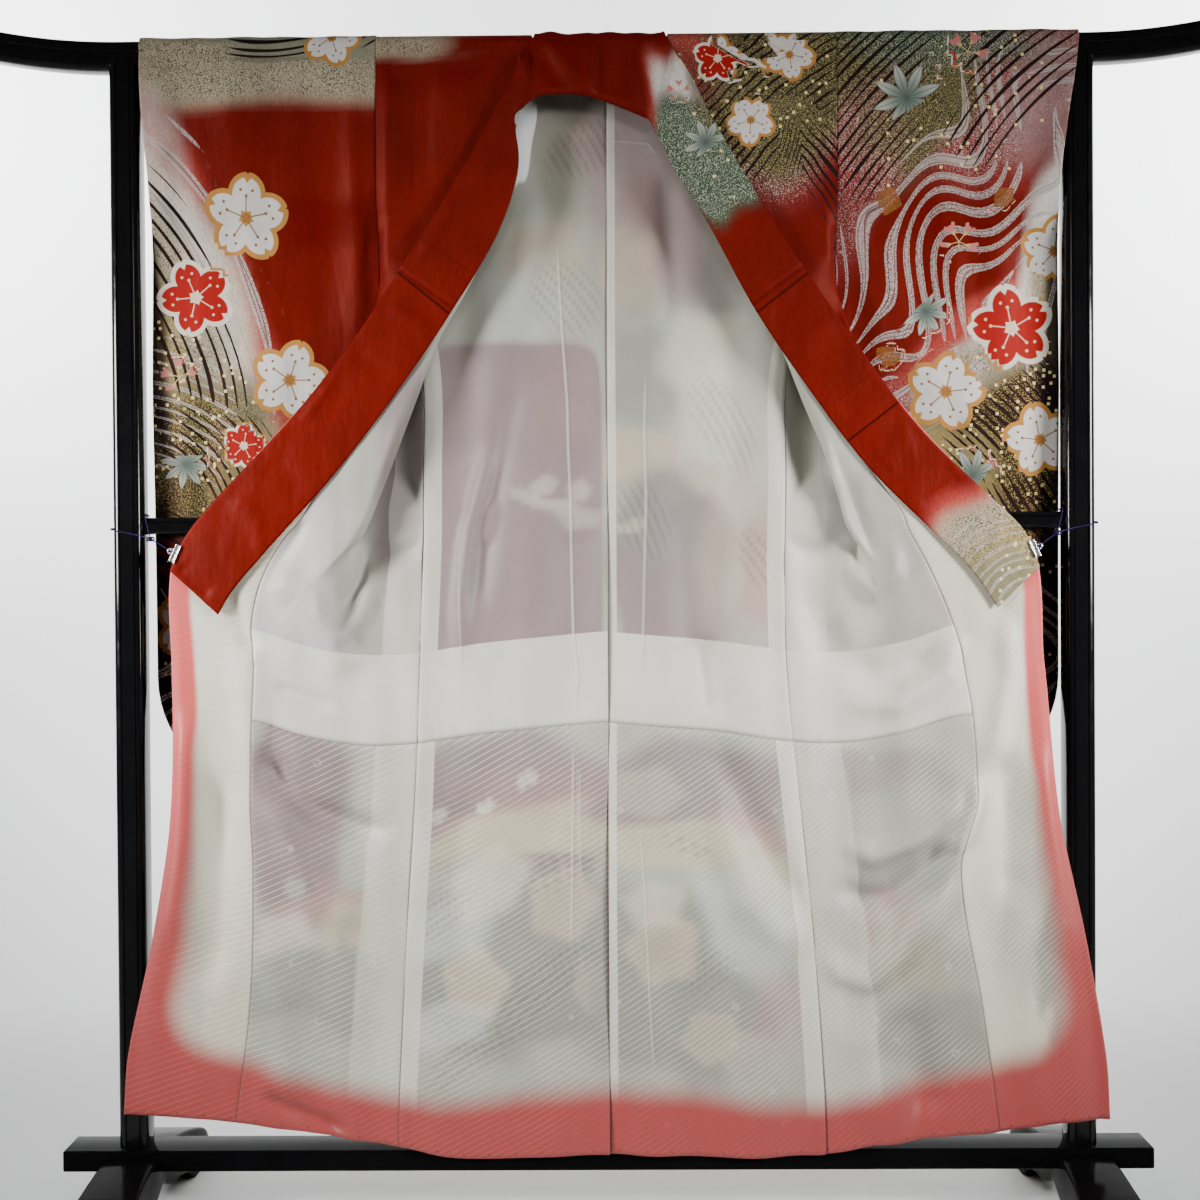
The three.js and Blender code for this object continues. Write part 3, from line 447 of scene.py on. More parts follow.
def waves(x, z, seed, height=1.0):
    # Long soft ripples that run down the cloth.
    chance = np.random.default_rng(seed)
    total = np.zeros(np.shape(x))
    for _ in range(7):
        across = 2 * math.pi / chance.uniform(45, 130)
        down = 2 * math.pi / chance.uniform(500, 1400) * chance.choice([-1, 1])
        total += chance.uniform(0.3, 1.0) * np.sin(across * x + down * z + chance.uniform(0, 6.3))
    return height * total / 2.2


def spaced(count, denseStart=False, denseEnd=False):
    # Shares from 0 to 1, closer together at the ends that are asked for.
    t = np.linspace(0, 1, count + 1)
    if denseStart and denseEnd:
        return (1 - np.cos(math.pi * t)) / 2 * 0.6 + 0.4 * t
    if denseStart:
        return 0.65 * t**2 + 0.35 * t
    if denseEnd:
        return 1 - (0.65 * (1 - t) ** 2 + 0.35 * (1 - t))
    return t


# Columns of a front, from the side seam to the front edge.
frontParts = {
    "tail": spaced(14, denseStart=True),
    "backTurn": spaced(8),
    "middle": spaced(6),
    "frontTurn": spaced(10),
    "face": spaced(52, denseEnd=True),
    "overlap": spaced(22, denseStart=True, denseEnd=True),
}
columnPlaces = np.concatenate(
    [
        2 * frontParts["tail"][:-1],
        2 + 3 * frontParts["backTurn"],
        5 + 2 * frontParts["middle"][1:],
        7 + 3 * frontParts["frontTurn"][1:],
        10 + 2 * frontParts["face"][1:],
    ]
)
bodyColumns = len(columnPlaces)


def frontSections(side, heights):
    # Distances out and depths of every column at every height, from the side seam to the front edge.
    h = np.asarray(heights, float)[:, None]
    seam, backPleat, frontPleat, edge = (frontAt[side](h, c) for c in range(4))
    yBack, yMiddle, yFront = (depthAt(h, c) for c in range(3))
    folded = [clamp01(pleatAt(h, c)) for c in range(2)]
    above = h > garment["overlapJoin"]
    width = np.maximum((garment["overlapTip"] - h) * garment["overlapTaper"], 2)
    overlap = np.where(above, edge - width, overlapAt[side](h))
    r1 = np.maximum((yBack - yMiddle) / 2, 1)
    r2 = np.maximum((yMiddle - yFront) / 2, 1)
    outCentre = backPleat - r1
    inCentre = np.minimum(frontPleat + r2, outCentre + 4)
    # The back pleat: it leaves the middle layer outwards and curls to the back.
    turn = np.where(above, folded[0], 1.0)
    tail = np.maximum(outCentre - seam, 2)
    angle = math.pi * turn
    arc = angle * r1
    full = mix(r1, math.pi * r1 + tail, turn)
    cap = r1 * (1 - np.sin(angle)) / np.maximum(np.cos(angle), 1e-3)
    rest = np.where(angle < math.pi / 2 - 0.05, np.minimum(full - arc, cap), full - arc)
    whole = math.pi * r1 + tail
    tailStations = whole - tail * frontParts["tail"][None, :-1]
    stations = np.concatenate([tailStations, math.pi * r1 * (1 - frontParts["backTurn"][None])], axis=1)
    along = stations / whole * (arc + rest)
    part = np.minimum(along, arc) / r1
    past = np.maximum(along - arc, 0)
    curlX = outCentre + r1 * np.sin(part) + past * np.cos(part)
    curlY = yMiddle + r1 * (1 - np.cos(part)) + past * np.sin(part)
    # The middle layer, the front pleat's half turn and the front layer out to the overlap seam.
    middleX = mix(outCentre, inCentre, frontParts["middle"][None, 1:])
    middleY = yMiddle + 0 * middleX
    bend = math.pi * frontParts["frontTurn"][None, 1:]
    bendX = inCentre - r2 * np.sin(bend)
    bendY = (yMiddle + yFront) / 2 + r2 * np.cos(bend)
    faceX = mix(inCentre, overlap, frontParts["face"][None, 1:])
    faceY = yFront + 0 * faceX
    pleatedX = np.concatenate([curlX, middleX, bendX, faceX], axis=1)
    pleatedY = np.concatenate([curlY, middleY, bendY, faceY], axis=1)
    # The same columns with no pleat: gathered at the neck above, spread flat below.
    place = columnPlaces[None]
    step = garment["gatherStep"]
    gathered = overlap + (12 - place) * step
    knee = 0.5 * (0.5 * (outCentre + inCentre) + overlap)
    gathered = np.where(place < 7, mix(knee, overlap + 5 * step, place - 6), gathered)
    gathered = np.where(place < 6, mix(outCentre, knee, place - 5), gathered)
    curled = np.arange(pleatedX.shape[1])[None] < curlX.shape[1]
    upX = np.where(curled, pleatedX, gathered)
    upY = np.where(curled, pleatedY, yMiddle)
    opened = clamp01((garment["pleatEnd"] - h) / 260)
    reach = mix(15, 0.46 * (overlap - seam), opened * (2 - opened))
    centre = mix((backPleat + frontPleat) / 2, (seam + overlap) / 2, opened)
    at = clamp01((place - 1) / 10)
    downX = centre + reach * (2 * at - 1)
    downX = np.where(place < 1, mix(seam, centre - reach, place), downX)
    downX = np.where(place > 11, mix(centre + reach, overlap, place - 11), downX)
    downY = mix(yBack, yFront, at * at * (3 - 2 * at))
    plainX = np.where(above, upX, downX)
    plainY = np.where(above, upY, downY)
    x = mix(plainX, pleatedX, folded[1])
    y = mix(plainY, pleatedY, folded[1])
    last = x[:, -1:]
    share = frontParts["overlap"][None, 1:]
    x = np.concatenate([x, mix(last, edge, share)], axis=1)
    y = np.concatenate([y, y[:, -1:] + 0 * share], axis=1)
    # How much of each column belongs to the front layer, which carries the creases.
    onTop = np.concatenate([ease(place, 7.5, 9.5), np.ones((1, len(frontParts["overlap"]) - 1))], axis=1)
    return x, y, mix(1.0, onTop, folded[1])


def settled(side, out, height):
    # The real height of a row: the hem and the lining seam rise and fall along their length.
    reach, lowest = garment["hemReach"], garment["lowestRow"]
    share = clamp01((reach - height) / (reach - lowest))
    seamShare = ease(garment["seamReach"] - np.abs(height - garment["liningSeam"]), 0, garment["seamReach"])
    distance = np.abs(out)
    return height + (hemAt[side](distance) - lowest) * share + seamLiftAt(distance) * seamShare


def overLiningSeam(side, grid):
    return grid[..., 2] - settled(side, grid[..., 0], garment["liningSeam"])


def softened(points, rounds):
    # Evens out small kinks along the first direction of a grid, and keeps its ends.
    grid = points.copy()
    for _ in range(rounds):
        grid[1:-1] = 0.25 * grid[:-2] + 0.5 * grid[1:-1] + 0.25 * grid[2:]
    return grid


def arcLength(points, axis):
    steps = np.linalg.norm(np.diff(points, axis=axis), axis=2)
    total = np.cumsum(steps, axis=axis)
    pad = [(0, 0), (0, 0)]
    pad[axis] = (1, 0)
    return np.pad(total, pad)


# The path of cloth over the top rail, front to back: depth, height.
overRail = [
    (-21.8, 1680), (-21.4, 1694), (-13, 1702.4), (0, 1702.7), (13, 1702.4), (21.4, 1694), (21.8, 1680),
]


def rowHeights():
    step, low, seam = garment["rowStep"], garment["lowestRow"], garment["liningSeam"]
    lower = np.linspace(low, seam, int((seam - low) / step) + 1)
    upper = np.linspace(seam, garment["railLow"], int((garment["railLow"] - seam) / step) + 1)
    return np.concatenate([lower, upper[1:]])


def seamRoll(distance, depth=1.2, reach=2.6):
    # Cloth turns down into a seam at its edge.
    return -depth * np.exp(-((distance / reach) ** 2))


def puckers(along, distance, seed, height=0.9, reach=16):
    chance = np.random.default_rng(seed)
    total = 0
    for _ in range(5):
        total = total + np.sin(along * 2 * math.pi / chance.uniform(11, 30) + chance.uniform(0, 6.3))
    patches = 0.5 + 0.5 * np.sin(along * 2 * math.pi / chance.uniform(90, 170) + chance.uniform(0, 6.3))
    return height * total / 2.4 * patches * np.exp(-distance / reach)


def bodySheet(side):
    # One continuous grid: up the front, over the rail and down the back, from the side seam inwards.
    sign, seam = sides[side], garment["sleeveSeam"][side]
    heights = rowHeights()
    x, y, onTop = frontSections(side, heights)
    front = softened(np.stack([sign * x, y, settled(side, x, heights[:, None])], axis=2), 3)
    # Over the rail.
    shoulder = np.abs(front[-1, :bodyColumns, 0])
    shares = (seam - shoulder) / (seam - shoulder[-1])
    inner = spaced(34, denseEnd=True)[1:]
    over = []
    for depth, height in curveThrough(overRail, 4)[1:]:
        neck = garment["neckHalf"] - garment["neckNarrowing"] * clamp01((depth + 5) / 12)
        out = np.concatenate([mix(seam, neck, shares), mix(neck, sign * garment["centreTop"], inner)])
        over.append(np.stack([sign * out, 0 * out + depth, 0 * out + height], axis=1))
    # Down the back.
    h = heights[::-1][1:, None]
    shares = (out[0] - out) / (out[0] - out[-1])
    even = spaced(len(out) - 1, denseStart=True, denseEnd=True)
    share = mix(shares[None], even[None], ease(garment["railLow"] - h, 0, 260))
    centre = sign * mix(garment["centreHem"], garment["centreTop"], h / garment["railTop"])
    out = mix(frontAt[side](h, 0), centre, share)
    swell = -sign * 3.5 * clamp01((1600 - h) / 300) * clamp01((h - 150) / 300)
    depth = depthAt(h, 0) + swell * np.sin(share * math.pi * 3)
    back = np.stack([sign * out, depth, settled(side, out, h)], axis=2)
    return {
        "side": side,
        "heights": heights,
        "front": front,
        "rest": np.concatenate([np.stack(over), back]),
        "onTop": onTop,
        "overRows": len(over),
        "closedRows": len(over) // 2 - 1,
    }


def clearOfRail(depth, z):
    # The body hangs in front of the middle rail.
    limit = -15 + 0.5 * np.maximum(np.abs(z - 1006) - 20, 0)
    over = np.maximum(depth - limit + 3, 0)
    return np.where(over > 0, limit - 3 + 3 * np.tanh(over / 3), depth)


def dressed(sheet):
    # Adds the creases, seam grooves and puckers to a body sheet.
    side, front = sheet["side"], sheet["front"]
    sign, right = sides[side], side == "right"
    x, z = front[..., 0], front[..., 2]
    columns = np.arange(front.shape[1])[None]
    height = creased(f"front_{side}", x, z) + waves(x, z, 11 + right, 0.9) * ease(1500 - z, 0, 200)
    shoulder = creased(f"shoulder_{side}", x, z)
    toEdge = np.abs(front[:, -1:, 0] - x)
    clear = mix(ease(toEdge, 0, 14), ease(toEdge, 112, 170), ease(z, 860, 940))
    front[..., 1] -= 3.0 * height * sheet["onTop"] * clear * ease(1560 - z, 0, 120)
    # The cloth between the side seam and the pleat sinks back into the fold.
    tail = columns <= len(frontParts["tail"]) + len(frontParts["backTurn"]) - 2
    sink = np.sin(math.pi * clamp01(np.abs(x - front[:, :1, 0]) / 96))
    front[..., 1] += 24 * sink * tail * ease(z, 900, 1010) * ease(1420 - z, 0, 120)
    front[..., 1] -= 2.4 * shoulder * ease(1685 - z, 0, 40) * ease(toEdge, 4, 30) * ease(z, 1430, 1500)
    # Grooves along the side seam, the overlap seam and the lining seam.
    fromSide = np.abs(x - front[:, :1, 0]) + 30 * (columns > 20)
    toOverlap = np.linalg.norm(front - front[:, bodyColumns - 1 : bodyColumns], axis=2)
    fromSeam = np.abs(overLiningSeam(side, front))
    dip = (seamRoll(fromSide) + seamRoll(toOverlap)) * (z < 1420)
    dip += puckers(z, toOverlap, 21 + sign, 0.6) * ease(1000 - z, 0, 60)
    dip += (puckers(x, fromSeam, 31 + sign, 0.9, 14) + seamRoll(fromSeam, 0.9, 3)) * (columns < bodyColumns)
    front[..., 1] = clearOfRail(front[..., 1] - dip, z)
    # The back.
    back = sheet["rest"][sheet["overRows"] :]
    x, z = back[..., 0], back[..., 2]
    toCentre, fromSide = (np.abs(x - back[:, column, None, 0]) for column in (-1, 0))
    height = creased("back", x, z) + waves(x, z, 13 + right, 1.1)
    back[..., 1] -= 3.0 * height * ease(1660 - z, 0, 120) * (0.25 + 0.75 * ease(fromSide, 0, 18))
    fromSeam = np.abs(overLiningSeam(side, back))
    dip = seamRoll(toCentre, 1.5, 2.4) + seamRoll(fromSide)
    dip += puckers(z, toCentre, 41 + sign, 0.35)
    dip += puckers(z, fromSide, 51 + sign, 0.5) * ease(1400 - z, 0, 80)
    dip += puckers(x, fromSeam, 61 + sign, 1.0, 15) + seamRoll(fromSeam, 0.9, 3)
    back[..., 1] = clearOfRail(back[..., 1] - dip, z)
    return sheet


def quadsOf(ids):
    # The four corners of every face of a grid of point numbers.
    return np.stack([ids[:-1, :-1], ids[:-1, 1:], ids[1:, 1:], ids[1:, :-1]], axis=2)


def numbered(sheet):
    # Numbers the points of a body sheet and lists its four-cornered faces with the zone of each.
    side, front, rest = sheet["side"], sheet["front"], sheet["rest"]
    body, tall = bodyColumns, len(front)
    rows, wide = tall + len(rest), rest.shape[1]
    used = np.ones((rows, wide), bool)
    used[: tall + sheet["closedRows"], body:] = False
    ids = np.full((rows, wide), -1)
    ids[used] = np.arange(used.sum())
    overlapIds = used.sum() + np.arange(front[:, body:, 0].size).reshape(tall, -1)
    quads = quadsOf(ids)
    kept = (quads >= 0).all(axis=2)
    rowOf = np.broadcast_to(np.arange(rows - 1)[:, None], kept.shape)
    tip = np.searchsorted(sheet["heights"], garment["overlapTip"])
    overlapQuads = quadsOf(np.concatenate([ids[:tall, body - 1 : body], overlapIds], axis=1))[: tip - 1]
    overlapRow = np.repeat(np.arange(tip - 1), overlapQuads.shape[1])
    seamRow = int(np.argmin(np.abs(sheet["heights"] - garment["liningSeam"])))
    # 0 upper, 1 skirt front, 2 skirt back, 10 upper overlap, 11 skirt overlap
    zones = np.where(rowOf < seamRow, 1, np.where(rowOf >= rows - 1 - seamRow, 2, 0))
    tags = np.concatenate([zones[kept], np.where(overlapRow < seamRow, 11, 10)])
    faces = np.concatenate([quads[kept], overlapQuads.reshape(-1, 4)])

    def clothFacts(grid, up, seamColumn, edge):
        # Distances along the cloth, kept with every point for its materials.
        across = arcLength(grid, 1)
        toSeam = np.abs(across[:, seamColumn, None] - across)
        toEdge = 500 + 0 * across if edge is None else across[:, edge, None] - across
        return np.stack([across, toSeam, toEdge, up, overLiningSeam(side, grid)], axis=2)

    def listed(frontValues, restValues):
        # The values at the used places, then those on the overlap.
        full = np.full((rows, wide, frontValues.shape[2]), np.nan)
        full[:tall, :body] = frontValues[:, :body]
        full[tall:] = restValues
        return np.concatenate([full[used], frontValues[:, body:].reshape(-1, frontValues.shape[2])])

    frontFacts = clothFacts(front, arcLength(front, 0), body - 1, -1)
    restFacts = clothFacts(rest, arcLength(rest[::-1], 0)[::-1], -1, None)
    return {
        "points": listed(front, rest),
        "faces": faces[:, ::-1] if side == "right" else faces,
        "tags": tags,
        "facts": listed(frontFacts, restFacts),
    }


def vertexNormals(points, faces):
    normals = np.zeros_like(points)
    a, b, c, d = (points[faces[:, i]] for i in range(4))
    face = np.cross(c - a, d - b)
    for i in range(4):
        np.add.at(normals, faces[:, i], face)
    return normals / np.maximum(np.linalg.norm(normals, axis=1, keepdims=True), 1e-12)


def borderEdges(faces):
    edges = np.concatenate([faces[:, [i, (i + 1) % 4]] for i in range(4)])
    size = faces.max() + 1
    forward = edges[:, 0] * size + edges[:, 1]
    backward = edges[:, 1] * size + edges[:, 0]
    return edges[~np.isin(forward, backward)]


def makeMesh(name, points, quads, uv, facts, factNames):
    mesh = bpy.data.meshes.new(name)
    mesh.vertices.add(len(points))
    mesh.vertices.foreach_set("co", (points * mm).astype(np.float32).ravel())
    mesh.loops.add(quads.size)
    mesh.loops.foreach_set("vertex_index", quads.astype(np.int32).ravel())
    mesh.polygons.add(len(quads))
    mesh.polygons.foreach_set("loop_start", np.arange(len(quads), dtype=np.int32) * 4)
    mesh.polygons.foreach_set("use_smooth", np.ones(len(quads), dtype=bool))
    mesh.update(calc_edges=True)
    layer = mesh.uv_layers.new(name="cloth")
    layer.data.foreach_set("uv", (uv[quads.ravel()] * mm).astype(np.float32).ravel())
    for i, factName in enumerate(factNames):
        kept = mesh.attributes.new(factName, "FLOAT", "POINT")
        kept.data.foreach_set("value", (facts[:, i] * mm).astype(np.float32))
    mesh.validate()
    piece = bpy.data.objects.new(name, mesh)
    bpy.context.scene.collection.objects.link(piece)
    return piece


def shell(name, points, normals, faces, span, uv, facts, factNames, colours, inset=0.15):
    # A closed thin wall on some faces of a sheet.
    used, inverse = np.unique(faces, return_inverse=True)
    local = inverse.reshape(faces.shape)
    p, n = points[used].copy(), normals[used]
    border = borderEdges(local)
    inward = np.zeros_like(p)
    along = p[border[:, 1]] - p[border[:, 0]]
    for end in range(2):
        np.add.at(inward, border[:, end], np.cross(n[border[:, end]], along))
    length = np.linalg.norm(inward, axis=1, keepdims=True)
    p = p + inset * inward / np.maximum(length, 1e-9) * (length > 1e-9)
    near, far = p + n * span[0], p + n * span[1]
    count = len(used)
    walls = np.concatenate([border, border[:, ::-1] + count], axis=1)
    quads = np.concatenate([local + count, local[:, ::-1], walls])
    twice = np.concatenate([used, used])
    piece = makeMesh(name, np.concatenate([near, far]), quads, uv[twice], facts[twice], factNames)
    for colourName, colour in colours.items():
        layer = piece.data.attributes.new(colourName, "FLOAT_COLOR", "POINT")
        full = np.concatenate([colour[twice], np.ones((len(twice), 1))], axis=1)
        layer.data.foreach_set("color", full.astype(np.float32).ravel())
    return piece


# Colours of the lining: where the outer print shows through, in soft patches, and a few patches of painted
# light and painted shade.
liningColours = {
    "cream": (0.56, 0.525, 0.41),
    "ivory": (0.66, 0.63, 0.53),
    "purple": (0.235, 0.178, 0.175),
    # painted light: a lit copy of purple, for cloth that faces the lamps
    "litPurple": (0.47, 0.42, 0.415),
    "mauve": (0.30, 0.233, 0.22),
    "bright": (0.95, 0.95, 0.97),
    # dark purple of the print showing through, also used as painted shade in the left fold's pocket
    "deepPurple": (0.19, 0.145, 0.14),
    "greyGreen": (0.34, 0.34, 0.285),
    "blueGrey": (0.225, 0.23, 0.195),
    "deepGrey": (0.26, 0.22, 0.175),
    "peach": (0.43, 0.345, 0.265),
    "pink": (0.36, 0.21, 0.19),
    "yellow": (0.44, 0.40, 0.27),
    "white": (0.50, 0.51, 0.48),
    "olive": (0.24, 0.225, 0.16),
}
# Patches on a cloth: x, z, half width, half height, turn in degrees, colour, strength, softness.
backPatches = [
    (-60, 1480, 170, 190, 0, "greyGreen", 1.0, 0.5),
    (-50, 1600, 60, 70, 0, "deepGrey", 0.5, 0.9),
    (-20, 1560, 26, 45, 0, "pink", 0.35, 0.8),
    (-82, 1395, 55, 48, 20, "peach", 0.75, 0.45),
    (-60, 1500, 30, 60, 10, "olive", 0.5, 0.7),
    (-110, 1320, 60, 60, 0, "white", 0.35, 0.9),
    (70, 1480, 90, 170, 0, "mauve", 0.95, 0.5),
    (60, 1430, 30, 90, 0, "pink", 0.4, 0.8),
    (38, 1375, 40, 60, 0, "yellow", 0.5, 0.7),
    (170, 1330, 40, 60, 0, "deepPurple", 0.4, 0.9),
    (110, 1210, 110, 80, 0, "greyGreen", 1.0, 0.5),
    (60, 1215, 55, 75, 0, "blueGrey", 0.6, 0.6),
    (150, 1245, 60, 60, 0, "cream", 0.8, 0.7),
    (180, 1130, 70, 120, 0, "ivory", 0.55, 0.7),
    (215, 1180, 30, 140, 0, "greyGreen", 0.4, 0.7),
    (30, 1096, 28, 45, 0, "peach", 0.9, 0.3),
    (75, 1090, 34, 46, 0, "peach", 0.9, 0.3),
    (130, 1060, 40, 40, -30, "pink", 0.45, 0.8),
    (95, 930, 84, 140, 0, "purple", 0.95, 0.3),
    (80, 1010, 60, 60, 0, "blueGrey", 0.5, 0.7),
    (195, 960, 55, 120, -8, "peach", 0.55, 0.6),
    (230, 930, 30, 80, 0, "pink", 0.5, 0.7),
    (-125, 1027, 125, 238, 0, "purple", 1.0, 0.06),
    (-50, 1190, 40, 80, 0, "pink", 0.22, 0.8),
    (-84, 1058, 20, 13, 30, "cream", 0.42, 0.7),
    (-112, 1044, 22, 9, -24, "cream", 0.36, 0.8),
    (-66, 1030, 30, 9, -6, "cream", 0.42, 0.8),
    (-34, 1052, 17, 15, 15, "cream", 0.36, 0.7),
    (-30, 1012, 30, 13, 4, "cream", 0.34, 0.8),
    (40, 1000, 22, 8, 10, "cream", 0.4, 0.5),
    (-113, 1560, 15, 66, -9, "bright", 1.0, 0.12),
    # below the lining seam
    (-130, 600, 150, 105, 0, "purple", 1.0, 0.4),
    (-215, 640, 60, 60, 30, "deepPurple", 0.6, 0.7),
    (-90, 625, 90, 30, 0, "pink", 0.3, 0.8),
    (-130, 582, 110, 26, 12, "pink", 0.6, 0.6),
    (-150, 556, 120, 34, 16, "yellow", 0.8, 0.6),
    (-60, 560, 70, 26, 0, "yellow", 0.7, 0.6),
    (-110, 640, 16, 10, 30, "cream", 0.6, 0.4),
    (-170, 600, 14, 9, 30, "cream", 0.6, 0.4),
    (-240, 586, 16, 9, 30, "cream", 0.5, 0.4),
    (-120, 380, 170, 130, 0, "blueGrey", 1.0, 0.4),
    (-215, 480, 60, 40, 20, "greyGreen", 0.7, 0.6),
    (-230, 420, 60, 40, 10, "white", 0.5, 0.7),
    (-165, 490, 60, 40, 40, "cream", 0.55, 0.5),
    (-60, 462, 48, 52, 0, "peach", 0.8, 0.35),
    (-186, 348, 46, 48, 0, "peach", 0.85, 0.35),
    (-225, 290, 60, 30, 10, "white", 0.5, 0.6),
    (-20, 350, 24, 40, 0, "peach", 0.55, 0.4),
    (-40, 230, 80, 40, 0, "greyGreen", 0.6, 0.7),
    (120, 620, 130, 70, 0, "purple", 0.9, 0.4),
    (200, 610, 60, 60, -30, "deepPurple", 0.55, 0.7),
    (60, 620, 50, 34, 0, "peach", 0.6, 0.5),
    (210, 560, 60, 22, -22, "pink", 0.7, 0.6),
    (110, 545, 100, 34, 0, "yellow", 0.85, 0.5),
    (225, 500, 50, 36, -20, "yellow", 0.6, 0.7),
    (110, 340, 140, 130, 0, "blueGrey", 0.95, 0.4),
    (200, 430, 50, 90, 28, "white", 0.6, 0.7),
    (82, 398, 50, 52, 0, "peach", 0.85, 0.35),
    (70, 460, 40, 30, 0, "cream", 0.5, 0.6),
    (150, 270, 40, 36, 0, "peach", 0.7, 0.35),
    (195, 250, 34, 30, 0, "peach", 0.5, 0.4),
    (250, 300, 40, 60, 0, "pink", 0.5, 0.7),
    (220, 230, 50, 40, 0, "greyGreen", 0.5, 0.7),
]
frontPatches = {
    "left": [
        # painted light on the upper left front, which tilts up towards the lamps
        (-420, 900, 130, 150, 0, "litPurple", 0.95, 0.35),
        (-455, 930, 50, 60, 0, "ivory", 0.3, 0.8),
        (-345, 900, 34, 300, 0, "greyGreen", 0.9, 0.3),
        # painted shade in the pocket of the left fold, darkening the purple that shows through
        (-286, 1060, 36, 180, -4, "deepPurple", 0.9, 0.7),
        (-445, 600, 75, 150, 0, "purple", 1.0, 0.35),
        (-400, 640, 50, 80, 0, "deepPurple", 0.45, 0.8),
        (-420, 445, 80, 30, 14, "pink", 0.75, 0.6),
        (-385, 470, 20, 44, 20, "pink", 0.5, 0.6),
        (-370, 425, 34, 44, 0, "yellow", 0.7, 0.6),
        (-440, 490, 16, 14, 0, "greyGreen", 0.7, 0.4),
        (-360, 540, 14, 14, 0, "greyGreen", 0.7, 0.4),
        (-455, 420, 40, 30, 0, "cream", 0.6, 0.7),
        (-420, 330, 100, 70, 8, "blueGrey", 0.9, 0.45),
        (-365, 360, 24, 50, 0, "blueGrey", 0.8, 0.6),
        (-450, 270, 60, 40, 0, "greyGreen", 0.7, 0.7),
    ],
    "right": [
        (400, 980, 110, 230, 0, "greyGreen", 0.7, 0.6),
        (330, 900, 60, 200, 0, "ivory", 0.5, 0.7),
        (350, 1010, 26, 60, 0, "blueGrey", 0.5, 0.7),
        (330, 830, 24, 40, 0, "purple", 0.35, 0.8),
        (510, 895, 50, 30, 0, "pink", 0.5, 0.7),
        (400, 640, 90, 40, 0, "purple", 0.55, 0.6),
        (430, 560, 90, 70, 0, "greyGreen", 0.8, 0.5),
        (420, 500, 80, 40, 20, "blueGrey", 0.8, 0.5),
        (345, 440, 34, 44, 0, "blueGrey", 0.7, 0.5),
        (400, 440, 44, 44, 40, "pink", 0.5, 0.6),
        (430, 390, 34, 60, 35, "peach", 0.4, 0.6),
        (450, 350, 80, 60, 30, "olive", 0.55, 0.6),
        (470, 280, 80, 60, 0, "blueGrey", 0.9, 0.5),
        (355, 330, 16, 120, 4, "blueGrey", 0.7, 0.4),
    ],
}
overlapPatches = {
    "left": [
        (-580, 700, 90, 200, 0, "ivory", 0.5, 0.6),
        (-560, 500, 60, 200, 0, "cream", 0.6, 0.6),
        (-580, 350, 60, 120, 0, "peach", 0.25, 0.8),
        (-600, 480, 20, 200, 4, "greyGreen", 0.6, 0.6),
    ],
    "right": [
        (560, 700, 60, 160, 0, "ivory", 0.6, 0.6),
        (600, 500, 34, 160, -6, "greyGreen", 0.7, 0.6),
        (640, 420, 24, 110, -10, "blueGrey", 0.9, 0.4),
        (655, 300, 24, 80, -10, "blueGrey", 0.7, 0.5),
        (600, 600, 30, 90, -8, "cream", 0.7, 0.6),
    ],
}


def turnedBy(dx, dz, degrees):
    # A step measured along a direction and across it.
    c, s = math.cos(math.radians(degrees)), math.sin(math.radians(degrees))
    return dx * c + dz * s, dz * c - dx * s


def within(x, z, px, pz, wide, high, turn, soft):
    # 1 inside a lobed shape with a soft edge, or a straight-sided one where the print ends at a seam.
    along, across = turnedBy(x - px, z - pz, turn)
    along, across = along / wide, across / high
    power, lobes = (9, 0) if soft < 0.1 else (2.6, 0.09)
    if soft == 0.35:
        power, lobes = 2, 0.1  # the blurred outline of a blossom
    reach = (np.abs(along) ** power + np.abs(across) ** power) ** (1 / power)
    reach = reach * (1 + lobes * np.cos(5 * np.arctan2(across, along) + px))
    return ease(1 + soft * 0.5 - reach, 0, soft)


def patched(x, z, base, patches, palette):
    values = np.broadcast_to(np.array(palette[base], float), (*x.shape, len(palette[base]))).copy()
    for px, pz, wide, high, turn, name, strength, soft in patches:
        share = strength * within(x, z, px, pz, wide, high, turn, soft)
        values += (np.array(palette[name]) - values) * share[..., None]
    return values


def grassLines(x, z, lines):
    # Faint dark strokes that show through: x, z, half length, half width, angle, spacing.
    total = np.zeros(x.shape)
    for px, pz, wide, high, turn, spacing in lines:
        along, across = turnedBy(x - px, z - pz, turn)
        across = across + 0.0012 * along**2
        inside = ease(1.2 - np.hypot(along / wide, across / high), 0, 0.5)
        total = np.maximum(total, inside * ease(np.sin(across * 2 * math.pi / spacing), 0.1, 0.8))
    return total


grassStrokes = [
    (-90, 350, 90, 34, 42, 13), (-190, 250, 90, 26, 34, 14), (-60, 510, 60, 26, 20, 14),
    (-235, 450, 50, 30, 38, 12), (150, 365, 46, 26, 34, 12), (120, 545, 40, 14, -20, 12),
    (175, 1150, 80, 40, -62, 12), (-50, 1330, 60, 50, -50, 13), (60, 1010, 60, 40, -66, 12),
    (225, 950, 50, 30, -55, 13), (-25, 1550, 40, 60, -60, 12),
]
seamBands = {"left": 51, "right": 60}
# Width of the rose border: up the front edges by height, along the hem by distance out.
roseBorder = {
    "left": ([100, 400, 700, 900], [60, 52, 38, 30]),
    "right": ([100, 400, 700, 900], [60, 46, 32, 26]),
    "hem": ([0, 130, 250, 330, 450, 560, 700], [92, 88, 72, 70, 84, 98, 104]),
    "corner": 70.0,
}


